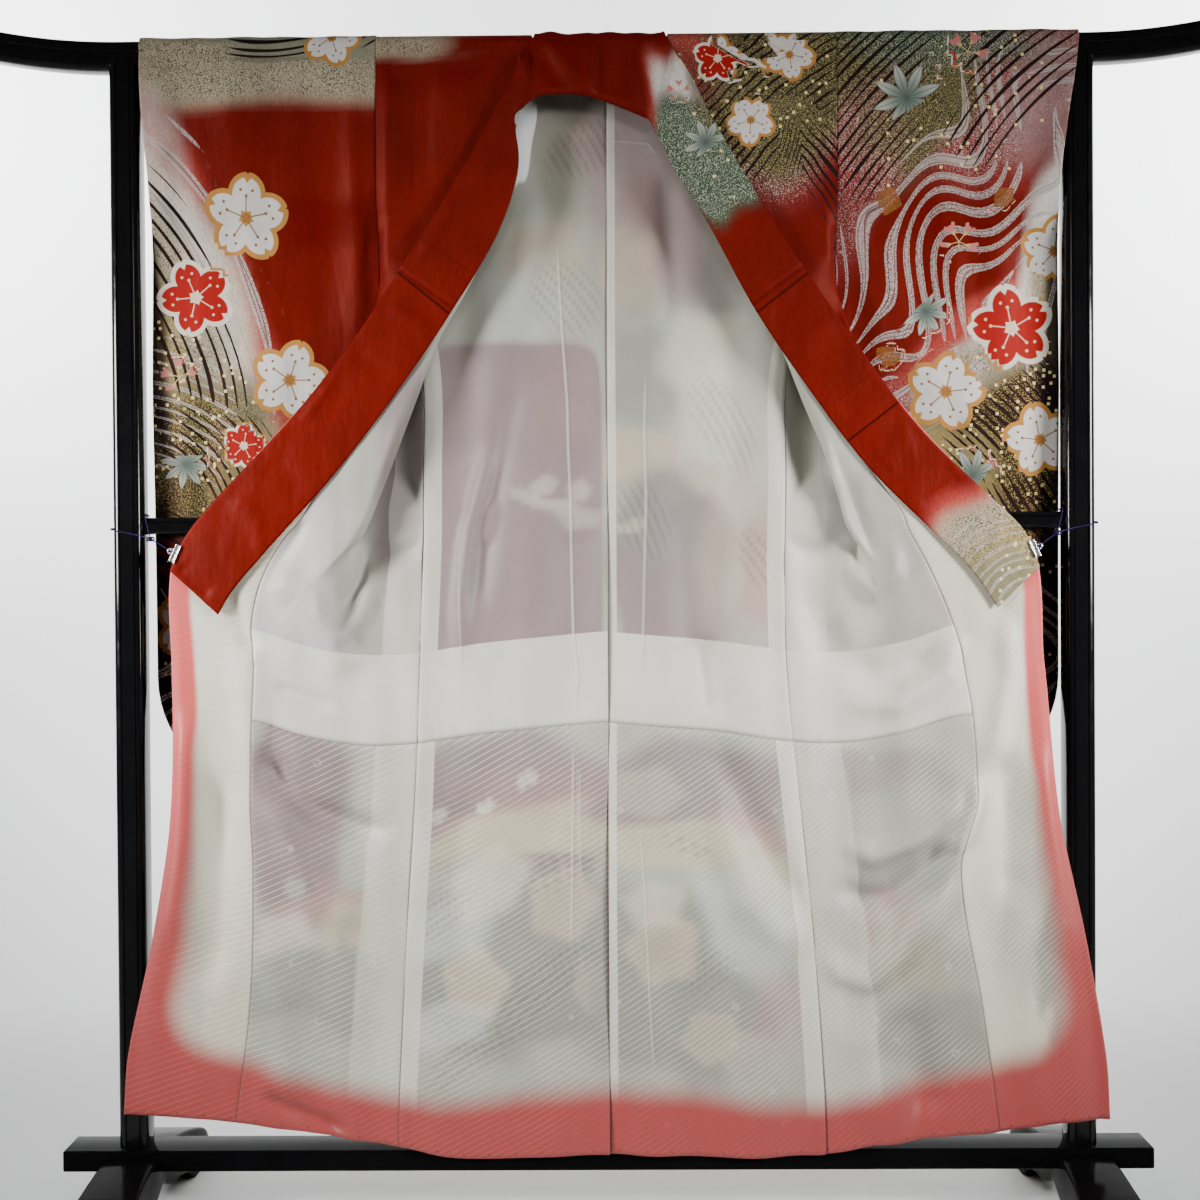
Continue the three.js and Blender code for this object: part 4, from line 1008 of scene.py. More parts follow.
def dressLining(made, side):
    # Colour and masks of a lining, kept with every point.
    points, facts = made["points"], made["facts"]
    x, z = points[:, 0], points[:, 2]
    fromSide, toSeam, toEdge, fromHem, overSeam = facts.T
    isFront = toEdge < 499
    isOverlap = np.zeros(len(points), bool)
    isOverlap[np.unique(made["faces"][made["tags"] >= 10])] = True
    back = patched(x, z, "greyGreen", backPatches, liningColours)
    front = patched(x, z, "greyGreen", frontPatches[side], liningColours)
    over = patched(x, z, "cream", overlapPatches[side], liningColours)
    colour = np.where(isOverlap[:, None], over, np.where(isFront[:, None], front, back))
    made["tint"] = colour * (1 - 0.26 * (grassLines(x, z, grassStrokes) * ~isFront)[:, None])
    # strips of turned-in cloth beside the seams, positive inside
    band = seamBands[side] + 0.03 * np.maximum(980 - z, 0)
    backStrip = 26 - fromSide
    if side == "right":
        backStrip = np.maximum(backStrip, 13 - toSeam)
    strips = np.where(isFront, np.where(toSeam < toEdge, band - fromSide, -1), backStrip)
    strips = np.where(isOverlap, -1.0, strips)
    lowFront = isFront & (z < garment["liningSeam"]) & ~isOverlap
    hide = np.where(lowFront, 0.35 * ease(band - fromSide, 0, 2), 0.0)
    # the rose border: distance inside its soft edge
    inEdge = toEdge - np.interp(z, *roseBorder[side])
    inHem = fromHem - np.interp(np.abs(x), *roseBorder["hem"])
    corner = roseBorder["corner"]
    rounded = corner - np.hypot(np.maximum(corner - inEdge, 0), np.maximum(corner - inHem, 0))
    rim = np.where((inEdge < corner) & (inHem < corner), rounded, np.minimum(inEdge, inHem))
    nearSeam = np.where(isFront & ~isOverlap, np.minimum(toSeam, fromSide), toSeam)
    groove = np.where(isFront | (side == "right"), np.minimum(nearSeam, 60), toSeam)
    tuck, tuckShare = np.full(x.shape, 60.0), np.zeros(x.shape)
    for strength, line in tucks[side]:
        distance, sideOf, along = lineDistance(x, z, line)
        closer = (distance < np.abs(tuck)) & ~isFront
        tuck = np.where(closer, distance * sideOf, tuck)
        tuckShare = np.where(closer, strength * ease(along, 0, 0.12) * ease(1 - along, 0, 0.12), tuckShare)
    stripShare = np.where(isFront, 0.4, 0.7)
    values = [fromHem, overSeam, strips, hide / mm, rim, groove, stripShare / mm, tuck, tuckShare / mm]
    made["extra"] = np.stack(values, axis=1)


liningFacts = ("fromHem", "overSeam", "strips", "hide", "rim", "groove", "stripShare", "tuck", "tuckShare")


# The print of the outer silk. Grounds: colour, colour of the flecks on it, how dense they are.
silkColours = {
    "red": (0.12, 0.0036, 0.0024, 0.20, 0.01, 0.006, 0.0),
    "collarRed": (0.118, 0.0036, 0.0024, 0.2, 0.01, 0.006, 0.0),
    "rose": (0.36, 0.05, 0.04, 0.5, 0.25, 0.2, 0.15),
    "sand": (0.34, 0.30, 0.21, 0.07, 0.06, 0.035, 0.42),
    "cream": (0.52, 0.47, 0.38, 0.24, 0.20, 0.13, 0.3),
    "white": (0.66, 0.63, 0.57, 0.4, 0.36, 0.28, 0.06),
    "moss": (0.035, 0.07, 0.042, 0.34, 0.36, 0.28, 0.4),
    "greenGold": (0.035, 0.04, 0.024, 0.30, 0.25, 0.10, 0.42),
    "blackGold": (0.012, 0.012, 0.010, 0.42, 0.31, 0.09, 0.36),
    "gold": (0.30, 0.24, 0.10, 0.05, 0.05, 0.02, 0.4),
    "black": (0.006, 0.006, 0.007, 0.16, 0.16, 0.15, 0.1),
    "silver": (0.30, 0.26, 0.25, 0.14, 0.03, 0.03, 0.45),
    "pinkSilver": (0.19, 0.03, 0.028, 0.46, 0.38, 0.35, 0.42),
}
# Grounds of the outer silk from the waist down.
lowerPrint = [
    (0, 190, 900, 420, 0, "greenGold", 1.0, 0.4),
    (-330, 640, 330, 90, 14, "cream", 0.95, 0.5),
    (240, 600, 330, 80, -16, "sand", 0.95, 0.5),
    (-40, 700, 200, 60, -8, "rose", 0.9, 0.6),
    (-120, 420, 300, 110, 12, "pinkSilver", 0.8, 0.6),
    (420, 360, 260, 130, -20, "blackGold", 0.9, 0.5),
    (-480, 300, 220, 120, 24, "moss", 0.9, 0.5),
    (120, 260, 260, 70, -8, "gold", 0.9, 0.5),
    (0, 70, 900, 110, 0, "black", 0.95, 0.5),
    (560, 1010, 130, 300, -8, "rose", 0.6, 0.5),
    (-560, 1010, 120, 260, 8, "rose", 0.5, 0.5),
]
# Line families: bow or flow, its centre, direction of a flow, spacing, width, then the shape it fills.
# Motifs: kind, x, z, reach, turn in degrees.
prints = {
    "sleeve_left": {
        "base": "red",
        "grounds": [
            (-470, 1692, 250, 86, 0, "sand", 1.0, 0.45),
            (-420, 1700, 120, 34, 0, "moss", 0.5, 0.6),
            (-634, 1350, 118, 340, 25, "rose", 0.8, 0.35),
            (-644, 1342, 108, 330, 25, "cream", 1.0, 0.35),
            (-640, 1500, 52, 150, 18, "white", 0.4, 0.7),
            (-628, 1290, 70, 270, 24, "sand", 0.9, 0.5),
            (-640, 1235, 52, 190, 22, "gold", 0.85, 0.5),
            (-560, 1090, 110, 120, 20, "greenGold", 0.9, 0.5),
            (-600, 1110, 70, 90, 0, "blackGold", 0.6, 0.6),
            (-470, 1050, 90, 90, 0, "gold", 0.5, 0.6),
            (-662, 1330, 26, 200, 6, "black", 0.9, 0.5),
            (-500, 770, 300, 200, 0, "black", 1.0, 0.3),
        ],
        "ink": [
            ("bow", -470, 1905, 0, 11, 0.24, -430, 1690, 96, 20, 4),
            ("bow", -1010, 1120, 0, 17, 0.15, -610, 1330, 62, 200, 20),
            ("bow", -720, 985, 0, 11, 0.22, -545, 1105, 90, 60, -40),
            ("bow", -690, 820, 0, 11, 0.22, -450, 1010, 96, 60, -40),
            ("bow", -760, 700, 0, 17, 0.22, -610, 960, 60, 60, 0),
        ],
        "pale": [
            ("bow", -1010, 1180, 0, 42, 0.16, -560, 1390, 52, 200, 24),
            ("bow", -700, 900, 0, 17, 0.14, -600, 1180, 60, 110, 10),
            ("flow", -560, 720, 80, 30, 0.2, -560, 800, 120, 120, 0),
        ],
        "leaf": [(-600, 1200, 70, 130, 20, 1.0), (-540, 1080, 110, 60, 0, 0.9), (-600, 840, 60, 80, 0, 0.3)],
        "motifs": [
            ("white", -508, 1446, 56, 12),
            ("red", -586, 1336, 52, 40),
            ("white", -452, 1216, 54, 0),
            ("buds", -612, 1222, 30, 20),
            ("leaves", -606, 1096, 38, 170),
            ("red", -520, 1122, 34, 8),
            ("white", -382, 1700, 40, 0),
            ("red", -450, 900, 56, 20),
            ("white", -600, 860, 50, 0),
            ("white", -480, 750, 54, 40),
        ],
    },
    "sleeve_right": {
        "base": "red",
        "grounds": [
            (560, 1650, 190, 130, 34, "pinkSilver", 0.95, 0.5),
            (400, 1640, 130, 150, 0, "greenGold", 1.0, 0.35),
            (490, 1700, 130, 56, 0, "moss", 0.8, 0.7),
            (360, 1500, 60, 130, -20, "pinkSilver", 0.8, 0.6),
            (440, 1580, 80, 60, 30, "greenGold", 0.7, 0.7),
            (640, 1600, 60, 90, -20, "silver", 0.4, 0.7),
            (470, 1160, 90, 70, 30, "pinkSilver", 0.9, 0.6),
            (560, 1290, 140, 40, 34, "rose", 0.9, 0.6),
            (600, 1250, 150, 60, 36, "cream", 1.0, 0.45),
            (655, 1420, 42, 110, -12, "white", 0.95, 0.6),
            (650, 1310, 34, 90, 0, "gold", 0.8, 0.6),
            (560, 1190, 110, 70, 34, "sand", 0.9, 0.5),
            (600, 1090, 130, 130, 10, "blackGold", 1.0, 0.4),
            (480, 1060, 90, 80, 30, "gold", 0.8, 0.5),
            (665, 1240, 30, 190, 0, "black", 0.9, 0.5),
            (520, 760, 300, 210, 0, "black", 1.0, 0.3),
        ],
        "ink": [
            ("bow", 820, 1190, 0, 12.5, 0.17, 410, 1620, 90, 150, -36),
            ("bow", 1010, 1210, 0, 15, 0.16, 560, 1650, 90, 130, -40),
            ("bow", 300, 900, 0, 10.5, 0.24, 590, 1130, 110, 60, 40),
            ("bow", 900, 1250, 0, 11, 0.24, 610, 1010, 70, 90, 0),
        ],
        "pale": [
            ("flow", 540, 1450, 58, 30, 0.25, 525, 1440, 120, 230, -37),
            ("bow", 700, 1330, 0, 24, 0.22, 622, 1590, 44, 90, -34),
            ("bow", 210, 1560, 0, 30, 0.2, 450, 1180, 120, 40, 36),
            ("bow", 1020, 1240, 0, 17, 0.16, 625, 1350, 40, 120, -10),
            ("flow", 560, 720, 100, 30, 0.2, 580, 800, 120, 120, 0),
        ],
        "leaf": [
            (600, 1180, 90, 90, 30, 1.0),
            (540, 1060, 140, 60, 0, 0.8),
            (520, 1590, 120, 90, 30, 0.4),
            (620, 880, 70, 110, 0, 0.6),
        ],
        "motifs": [
            ("leaves", 436, 1606, 52, 20),
            ("buds", 522, 1670, 32, -10),
            ("white", 652, 1392, 46, 12),
            ("red", 590, 1282, 58, 30),
            ("white", 496, 1192, 54, 5),
            ("buds", 514, 1406, 32, -20),
            ("leaves", 468, 1308, 38, 210),
            ("white", 632, 1122, 50, 30),
            ("leaves", 536, 1072, 42, 30),
            ("white", 440, 920, 54, 20),
            ("red", 580, 880, 52, 0),
            ("white", 500, 770, 56, 40),
            ("tile", 574, 1462, 15, 0),
            ("tile", 410, 1462, 16, 30),
            ("tile", 418, 1240, 22, 20),
        ],
    },
    "body_right": {
        "base": "red",
        "grounds": [
            (230, 1640, 170, 170, 0, "pinkSilver", 1.0, 0.35),
            (230, 1660, 170, 160, 0, "greenGold", 1.0, 0.35),
            (120, 1650, 30, 80, 0, "rose", 0.7, 0.8),
        ],
        "ink": [
            ("bow", 560, 1250, 0, 12.5, 0.17, 236, 1620, 90, 120, -30),
            ("bow", 60, 1330, 0, 11, 0.2, 312, 1520, 34, 110, 24),
            ("bow", 700, -100, 0, 17, 0.2, 420, 420, 200, 120, -20),
            ("bow", -100, -60, 0, 15, 0.18, 150, 300, 170, 80, 10),
        ],
        "pale": [("flow", 200, 600, -12, 34, 0.25, 260, 640, 300, 70, -12)],
        "leaf": [(230, 1620, 110, 90, 0, 0.45), (300, 420, 300, 120, -20, 0.8)],
        "motifs": [
            ("red", 168, 1664, 33, 15),
            ("white", 270, 1668, 35, -10),
            ("white", 214, 1574, 34, 50),
            ("white", 120, 560, 66, 10),
            ("red", 262, 500, 62, 40),
            ("white", 410, 560, 58, 0),
            ("leaves", 340, 660, 50, 30),
            ("white", 190, 360, 60, 25),
            ("red", 470, 400, 54, 10),
            ("leaves", 330, 330, 50, 200),
            ("white", 90, 220, 52, 0),
            ("white", 560, 260, 50, 30),
            ("red", 300, 190, 54, 12),
            ("buds", 440, 240, 44, 0),
        ],
    },
    "body_left": {
        "base": "red",
        "grounds": [(-300, 1702, 90, 34, 0, "sand", 0.9, 0.6)],
        "ink": [
            ("bow", -760, -80, 0, 17, 0.2, -430, 400, 200, 120, 20),
            ("bow", 160, -120, 0, 15, 0.18, -160, 300, 170, 90, -8),
        ],
        "pale": [("flow", -200, 600, 14, 34, 0.25, -280, 660, 300, 70, 14)],
        "leaf": [(-300, 400, 300, 130, 16, 0.8)],
        "motifs": [
            ("white", -230, 610, 64, 0),
            ("red", -96, 520, 60, 20),
            ("white", -390, 560, 60, 30),
            ("leaves", -310, 480, 48, 160),
            ("white", -190, 400, 58, 10),
            ("red", -450, 420, 56, 45),
            ("buds", -80, 380, 44, 0),
            ("white", -330, 300, 60, 20),
            ("leaves", -480, 280, 50, 190),
            ("red", -200, 230, 54, 0),
            ("white", -80, 190, 50, 35),
            ("white", -590, 220, 48, 15),
        ],
    },
    "collar": {
        "base": "collarRed",
        "grounds": [
            (112, 1592, 40, 86, 14, "rose", 0.9, 0.5),
            (118, 1580, 34, 84, 16, "white", 0.95, 0.5),
            (146, 1520, 54, 96, 32, "moss", 1.0, 0.3),
            (150, 1600, 20, 50, 20, "greenGold", 0.7, 0.6),
            (565, 950, 112, 106, -45, "rose", 0.9, 0.3),
            (577, 938, 108, 98, -45, "sand", 1.0, 0.3),
            (594, 920, 84, 78, -45, "gold", 0.9, 0.5),
            (582, 905, 60, 44, -45, "moss", 0.5, 0.7),
        ],
        "ink": [],
        "pale": [("bow", 604, 872, 0, 12, 0.15, 566, 944, 92, 66, 40)],
        "leaf": [(150, 1520, 40, 70, 30, 0.3), (590, 915, 46, 50, 0, 0.8)],
        "motifs": [("leaves", 150, 1540, 34, 20), ("buds", 112, 1612, 18, 20)],
    },
}
motifKinds = ("white", "red", "buds", "leaves", "tile")


def lineFamily(x, z, families):
    # Phase and width of the strongest family of lines; where two meet, both thin out.
    phase, best, second = (np.zeros(x.shape) for _ in range(3))
    for kind, cx, cz, angle, spacing, width, *shape in families:
        distance = np.hypot(x - cx, z - cz)
        if kind == "flow":
            # a stream that winds from side to side
            along, aside = turnedBy(x - cx, z - cz, angle)
            distance = 400 + aside + 40 * np.sin(along / 44) + 16 * np.sin((along - aside) / 29 + 1)
        value = width * within(x, z, *shape, 0.5) * (0.86 + 0.2 * np.sin(x / 37 + z / 26 + cx))
        leads = value > best
        second = np.where(leads, best, np.maximum(second, value))
        # lines drawn by hand: neither evenly spaced nor quite parallel
        count = (distance + 3.2 * np.sin(x / 71 + cz) + 2.2 * np.sin(z / 43 + cx)) / spacing
        phase = np.where(leads, count + 0.16 * np.sin(1.7 * count + cx), phase)
        best = np.where(leads, value, best)
    return phase, best - second


def printed(x, z, cloth, lower=None):
    # Everything the printed silk's material reads, at every point.
    design = prints[cloth]
    values = patched(x, z, design["base"], design["grounds"], silkColours)
    if lower is not None:
        values = mix(values, lower, ease(garment["printTop"] - z, 0, 60)[:, None])
    inkPhase, inkWide = lineFamily(x, z, design["ink"])
    palePhase, paleWide = lineFamily(x, z, design["pale"])
    leaf = np.zeros(x.shape)
    for *shape, strength in design["leaf"]:
        leaf = np.maximum(leaf, strength * within(x, z, *shape, 0.7))
    nearest, nextOne, blur = np.full(x.shape, 3.0), np.full(x.shape, 3.0), np.zeros(x.shape)
    motif = np.zeros((len(x), 3))
    for kind, px, pz, reach, turn in design["motifs"]:
        dx, dz = (x - px) / reach, (z - pz) / reach
        number = np.full(x.shape, motifKinds.index(kind) + 1.0)
        far = np.hypot(dx, dz)
        closer = far < nearest
        motif = np.where(closer[:, None], np.stack([*turnedBy(dx, dz, turn), number], axis=1), motif)
        nextOne = np.where(closer, nearest, np.minimum(nextOne, far))
        nearest = np.where(closer, far, nearest)
        blur = np.where(closer, min(0.9, 26 / reach), blur)
    # between two motifs the cloth belongs to neither
    motif[(nearest > 1.4) | (nextOne - nearest < blur), 2] = 0
    numbers = np.stack([values[:, 6], inkPhase, inkWide, palePhase, paleWide, leaf], axis=1)
    return numbers / mm, {"ground": values[:, :3], "fleck": values[:, 3:6], "motif": motif}


printFacts = ("grain", "inkPhase", "inkWide", "palePhase", "paleWide", "leaf")


nodeTags = {
    "body": ("outer", (0, 1, 2)),
    "okumi": ("outer", (10, 11)),
    "lining": ("lining", (0,)),
    "hakkake_front": ("lining", (1,)),
    "hakkake_back": ("lining", (2,)),
    "hakkake_okumi": ("lining", (10, 11)),
}
pieces = {}
for side in sides:
    made = numbered(dressed(bodySheet(side)))
    normals = vertexNormals(made["points"], made["faces"])
    uv = made["facts"][:, [0, 3]]
    dressLining(made, side)
    x, z = made["points"][:, 0], made["points"][:, 2]
    outerGround = patched(x, z, "red", lowerPrint, silkColours)
    outerFacts, outerColours = printed(x, z, f"body_{side}", outerGround)
    for kind, (layer, tags) in nodeTags.items():
        name = f"{kind}_{side}"
        faces = made["faces"][np.isin(made["tags"], tags)]
        if layer == "lining":
            look = (uv, made["extra"], liningFacts, {"tint": made["tint"]})
        else:
            look = (uv, outerFacts, printFacts, outerColours)
        pieces[name] = shell(name + "_cloth", made["points"], normals, faces, garment[layer], *look)
        print(name, len(pieces[name].data.polygons) * 2)


# Collar: the folded band, turned back over the fronts, and the cover sewn over its middle.
# Seam edge x, z and free edge x, z of each section, from the end upwards.
collarRows = {
    "left": [
        (-613, 941, -544, 878), (-590, 990, -520, 916), (-543, 1046, -463, 981),
        (-438, 1157, -369, 1086), (-352, 1265, -277, 1208), (-287, 1363, -209, 1308),
        (-221, 1464, -145, 1414), (-162, 1565, -115, 1508), (-121, 1640, -121, 1575),
        (-109, 1663, -108, 1592), (-103, 1682, -98, 1602),
    ],
    "right": [
        (615, 939, 555, 881), (593, 990, 520, 932), (546, 1038, 472, 982), (445, 1138, 372, 1083),
        (354, 1265, 283, 1204), (287, 1363, 214, 1309), (223, 1464, 151, 1427), (165, 1565, 104, 1503),
        (126, 1640, 92, 1530), (111, 1663, 81, 1550), (104, 1682, 75, 1564),
    ],
}
# Round the neck: seam edge x, where its seam lies on the way over the rail, free edge x, z.
neckRows = [
    (-96, 3, -94, 1605), (-94, 2, -90, 1607), (-91, 1, -85, 1609), (-82, 0, -72, 1611),
    (-9, 0, -9, 1606), (78, 0, 62, 1578), (91, 1, 70, 1573), (94, 2, 72, 1570), (96, 3, 73, 1568),
]
neckPath = [(5.8, 1702.7), (-13, 1702.7), (-18.5, 1699.8), (-22, 1693), (-24, 1682), (-30, 1650)]
collar = {
    "lift": 2.4,
    "from": 1680,
    "depth": 23.4,
    "lean": 9,
    "free": 34,
    "coverRows": 6,
    "crossSeams": [((-286, 1361), (-216, 1303)), ((286, 1351), (224, 1303)), ((344, 1115), (419, 1173))],
}
collarShares = np.linspace(0, 1, 27)


# Height towards the viewer, half width, lean and line of the collar's own creases.
collarCreases = [
    (3.2, 8, 0, [(-17, 1700), (-15, 1660), (-16, 1612)]),
    (-3.0, 9, 0, [(0, 1698), (-1, 1650), (4, 1600)]),
    (3.0, 11, 0.3, [(-82, 1702), (-60, 1668), (-34, 1636), (-18, 1606)]),
    (-2.0, 10, 0, [(-84, 1672), (-62, 1640), (-44, 1612)]),
    (2.6, 10, 0, [(70, 1704), (62, 1660), (56, 1600)]),
    (-2.0, 12, 0, [(36, 1690), (30, 1640), (26, 1600)]),
    (2.2, 9, 0, [(-118, 1640), (-132, 1590), (-150, 1540), (-186, 1470)]),
    (-1.8, 8, 0, [(-104, 1650), (-122, 1560), (-140, 1500)]),
    (2.0, 8, 0, [(-200, 1470), (-236, 1410), (-262, 1370)]),
    (-1.6, 7, 0.4, [(-286, 1322), (-250, 1306), (-222, 1278)]),
    (1.6, 7, 0, [(-300, 1316), (-262, 1290), (-240, 1262)]),
    (-1.5, 7, 0, [(-352, 1248), (-318, 1226), (-300, 1200)]),
    (1.6, 10, 0, [(-372, 1236), (-400, 1180), (-430, 1150)]),
    (-1.6, 9, 0, [(-470, 1098), (-440, 1070), (-424, 1040)]),
    (1.8, 12, 0, [(-520, 1050), (-490, 1010), (-480, 960)]),
    (-1.8, 9, 0, [(-598, 952), (-584, 930), (-552, 905)]),
    (2.0, 10, 0, [(124, 1640), (140, 1580), (165, 1520), (190, 1470)]),
    (-1.7, 8, 0, [(288, 1330), (262, 1306), (240, 1276)]),
    (1.6, 8, 0, [(330, 1290), (300, 1268), (276, 1236)]),
    (-1.6, 8, 0, [(388, 1206), (366, 1180), (340, 1150)]),
    (1.7, 9, 0, [(440, 1130), (410, 1104), (396, 1076)]),
    (-1.6, 10, 0, [(500, 1076), (470, 1050), (450, 1020)]),
    (1.8, 9, 0, [(560, 1000), (548, 960), (530, 930)]),
    (-2.0, 7, 0.3, [(606, 950), (590, 935), (570, 905)]),
]


def collarSection(row):
    seamX, seamZ, freeX, freeZ = row
    high = seamZ > collar["from"]
    nearNeck = clamp01((seamZ - 1560) / 80)
    resting = min(float(depthAt(seamZ, 2)) - collar["lift"], -37 * nearNeck)
    seamDepth = -collar["depth"] if high else resting
    belly = 3.5 * np.sin(collarShares * 0.6 * math.pi)
    depth = seamDepth - belly - (collar["lean"] * collarShares if high else 0)
    return np.stack([mix(seamX, freeX, collarShares), depth, mix(seamZ, freeZ, collarShares)], axis=1)


def neckSection(row):
    seamX, start, freeX, freeZ = row
    way = np.array(neckPath, float)

    def wayAt(share):
        place = mix(start, len(way) - 1, share)
        return [np.interp(place, np.arange(len(way)), way[:, column]) for column in range(2)]

    # over the rail along the path, and then straight to the free edge
    y, z = wayAt(collarShares)
    fromY, fromZ = wayAt(0.75)
    straight, t = collarShares > 0.75, (collarShares - 0.75) / 0.25
    y = np.where(straight, mix(fromY, -collar["free"], t), y)
    z = np.where(straight, mix(fromZ, freeZ, t), z)
    return np.stack([mix(seamX, freeX, collarShares), y, z], axis=1)


sections = [collarSection(row) for row in collarRows["left"]]
sections += [neckSection(row) for row in neckRows]
sections += [collarSection(row) for row in reversed(collarRows["right"])]
collarStep = 12
collarGrid = curveThrough(np.array(sections).reshape(len(sections), -1), collarStep)
collarGrid = collarGrid.reshape(-1, len(collarShares), 3)
collarGrid = softened(softened(collarGrid, 4).swapaxes(0, 1), 3).swapaxes(0, 1)


def collarFolds(x, z):
    # How far the collar's folds stand out towards the viewer.
    total = softFolds(x, z, collarCreases, 0.18)
    # the left half of the neck band laps over the right one
    onNeck = ease(z, 1560, 1600) * ease(1696 - z, 0, 20)
    total += onNeck * 3.4 * (1 - ease(x, -12, -7)) * ease(x, -95, -30)
    return 1.5 * total


x, z = collarGrid[..., 0], collarGrid[..., 2]
inFront = collarGrid[..., 1] < -10
toSeam = np.linalg.norm(collarGrid - collarGrid[:, :1], axis=2)
folds = collarFolds(x, z) * inFront * ease(toSeam, 0, 14)
collarGrid[..., 1] -= np.maximum(folds, -2.2)
# small waves along the line where the band crosses the rail
ripple = 1.6 * np.sin(x / 9) * np.sin(x / 23 + 1)
ripple += 1.5 * np.exp(-(((x + 14) / 7) ** 2)) + 1.4 * np.exp(-(((x + 72) / 12) ** 2))
collarGrid[..., 2] += ripple * ease(z, 1694, 1702)


collarQuads = quadsOf(np.arange(collarGrid[..., 0].size).reshape(collarGrid.shape[:2]))
collarPoints = collarGrid.reshape(-1, 3)
collarNormals = vertexNormals(collarPoints, collarQuads.reshape(-1, 4))
acrossCollar = arcLength(collarGrid, 1)
alongCollar = np.broadcast_to(arcLength(collarGrid, 0)[:, 13:14], acrossCollar.shape)
collarUv = np.stack([acrossCollar, alongCollar], axis=2).reshape(-1, 2)
collarFacts, collarColours = printed(collarPoints[:, 0], collarPoints[:, 2], "collar")
crossSeam = np.full(len(collarPoints), 60.0)
for start, end in collar["crossSeams"]:
    way = np.subtract(end, start) / math.dist(start, end)
    aside = (collarPoints[:, 0] - start[0]) * way[1] - (collarPoints[:, 2] - start[1]) * way[0]
    crossSeam = np.where(np.abs(aside) < np.abs(crossSeam), aside, crossSeam)
collarFacts = np.concatenate([collarFacts, crossSeam[:, None], acrossCollar.reshape(-1, 1)], axis=1)
collarNames = (*printFacts, "crossSeam", "fromSeam")
coverStart = (collar["coverRows"] - 1) * collarStep
for name, quads, layer in (
    ("collar_band", collarQuads, (0, 1.4)),
    ("collar_cover", collarQuads[coverStart:-coverStart], (1.9, 2.9)),
):
    faces = quads.reshape(-1, 4)
    look = (collarUv, collarFacts, collarNames, collarColours)
    pieces[name] = shell(name + "_cloth", collarPoints, collarNormals, faces, layer, *look)
print("collar done")

# Sleeves: a pouch over the rail, open along the armhole and, above 1470, at the wrist.
sleeveEdgeRows = {
    "left": [(1702, 658), (1610, 656), (1470, 645), (1200, 648), (800, 647), (600, 647)],
    "right": [(1702, 682), (1650, 676), (1571, 664), (1480, 654), (1200, 656), (800, 656), (600, 656)],
}
# height, depth of a sleeve's front and back
sleeveDepthRows = [
    (1680, -21.8, 21.8), (1655, -24, 24), (1571, -24, 24), (1480, -22, 24), (1440, -7, 24), (1405, 4, 24),
    (1363, 5.8, 24), (1265, 8, 25), (1187, 9, 26), (1020, 15.5, 31), (600, 18, 33),
]
sleeveDepthAt = smoothTable(sleeveDepthRows)
sleeve = {"bottom": 625, "corner": 160, "wristEnd": 1470}


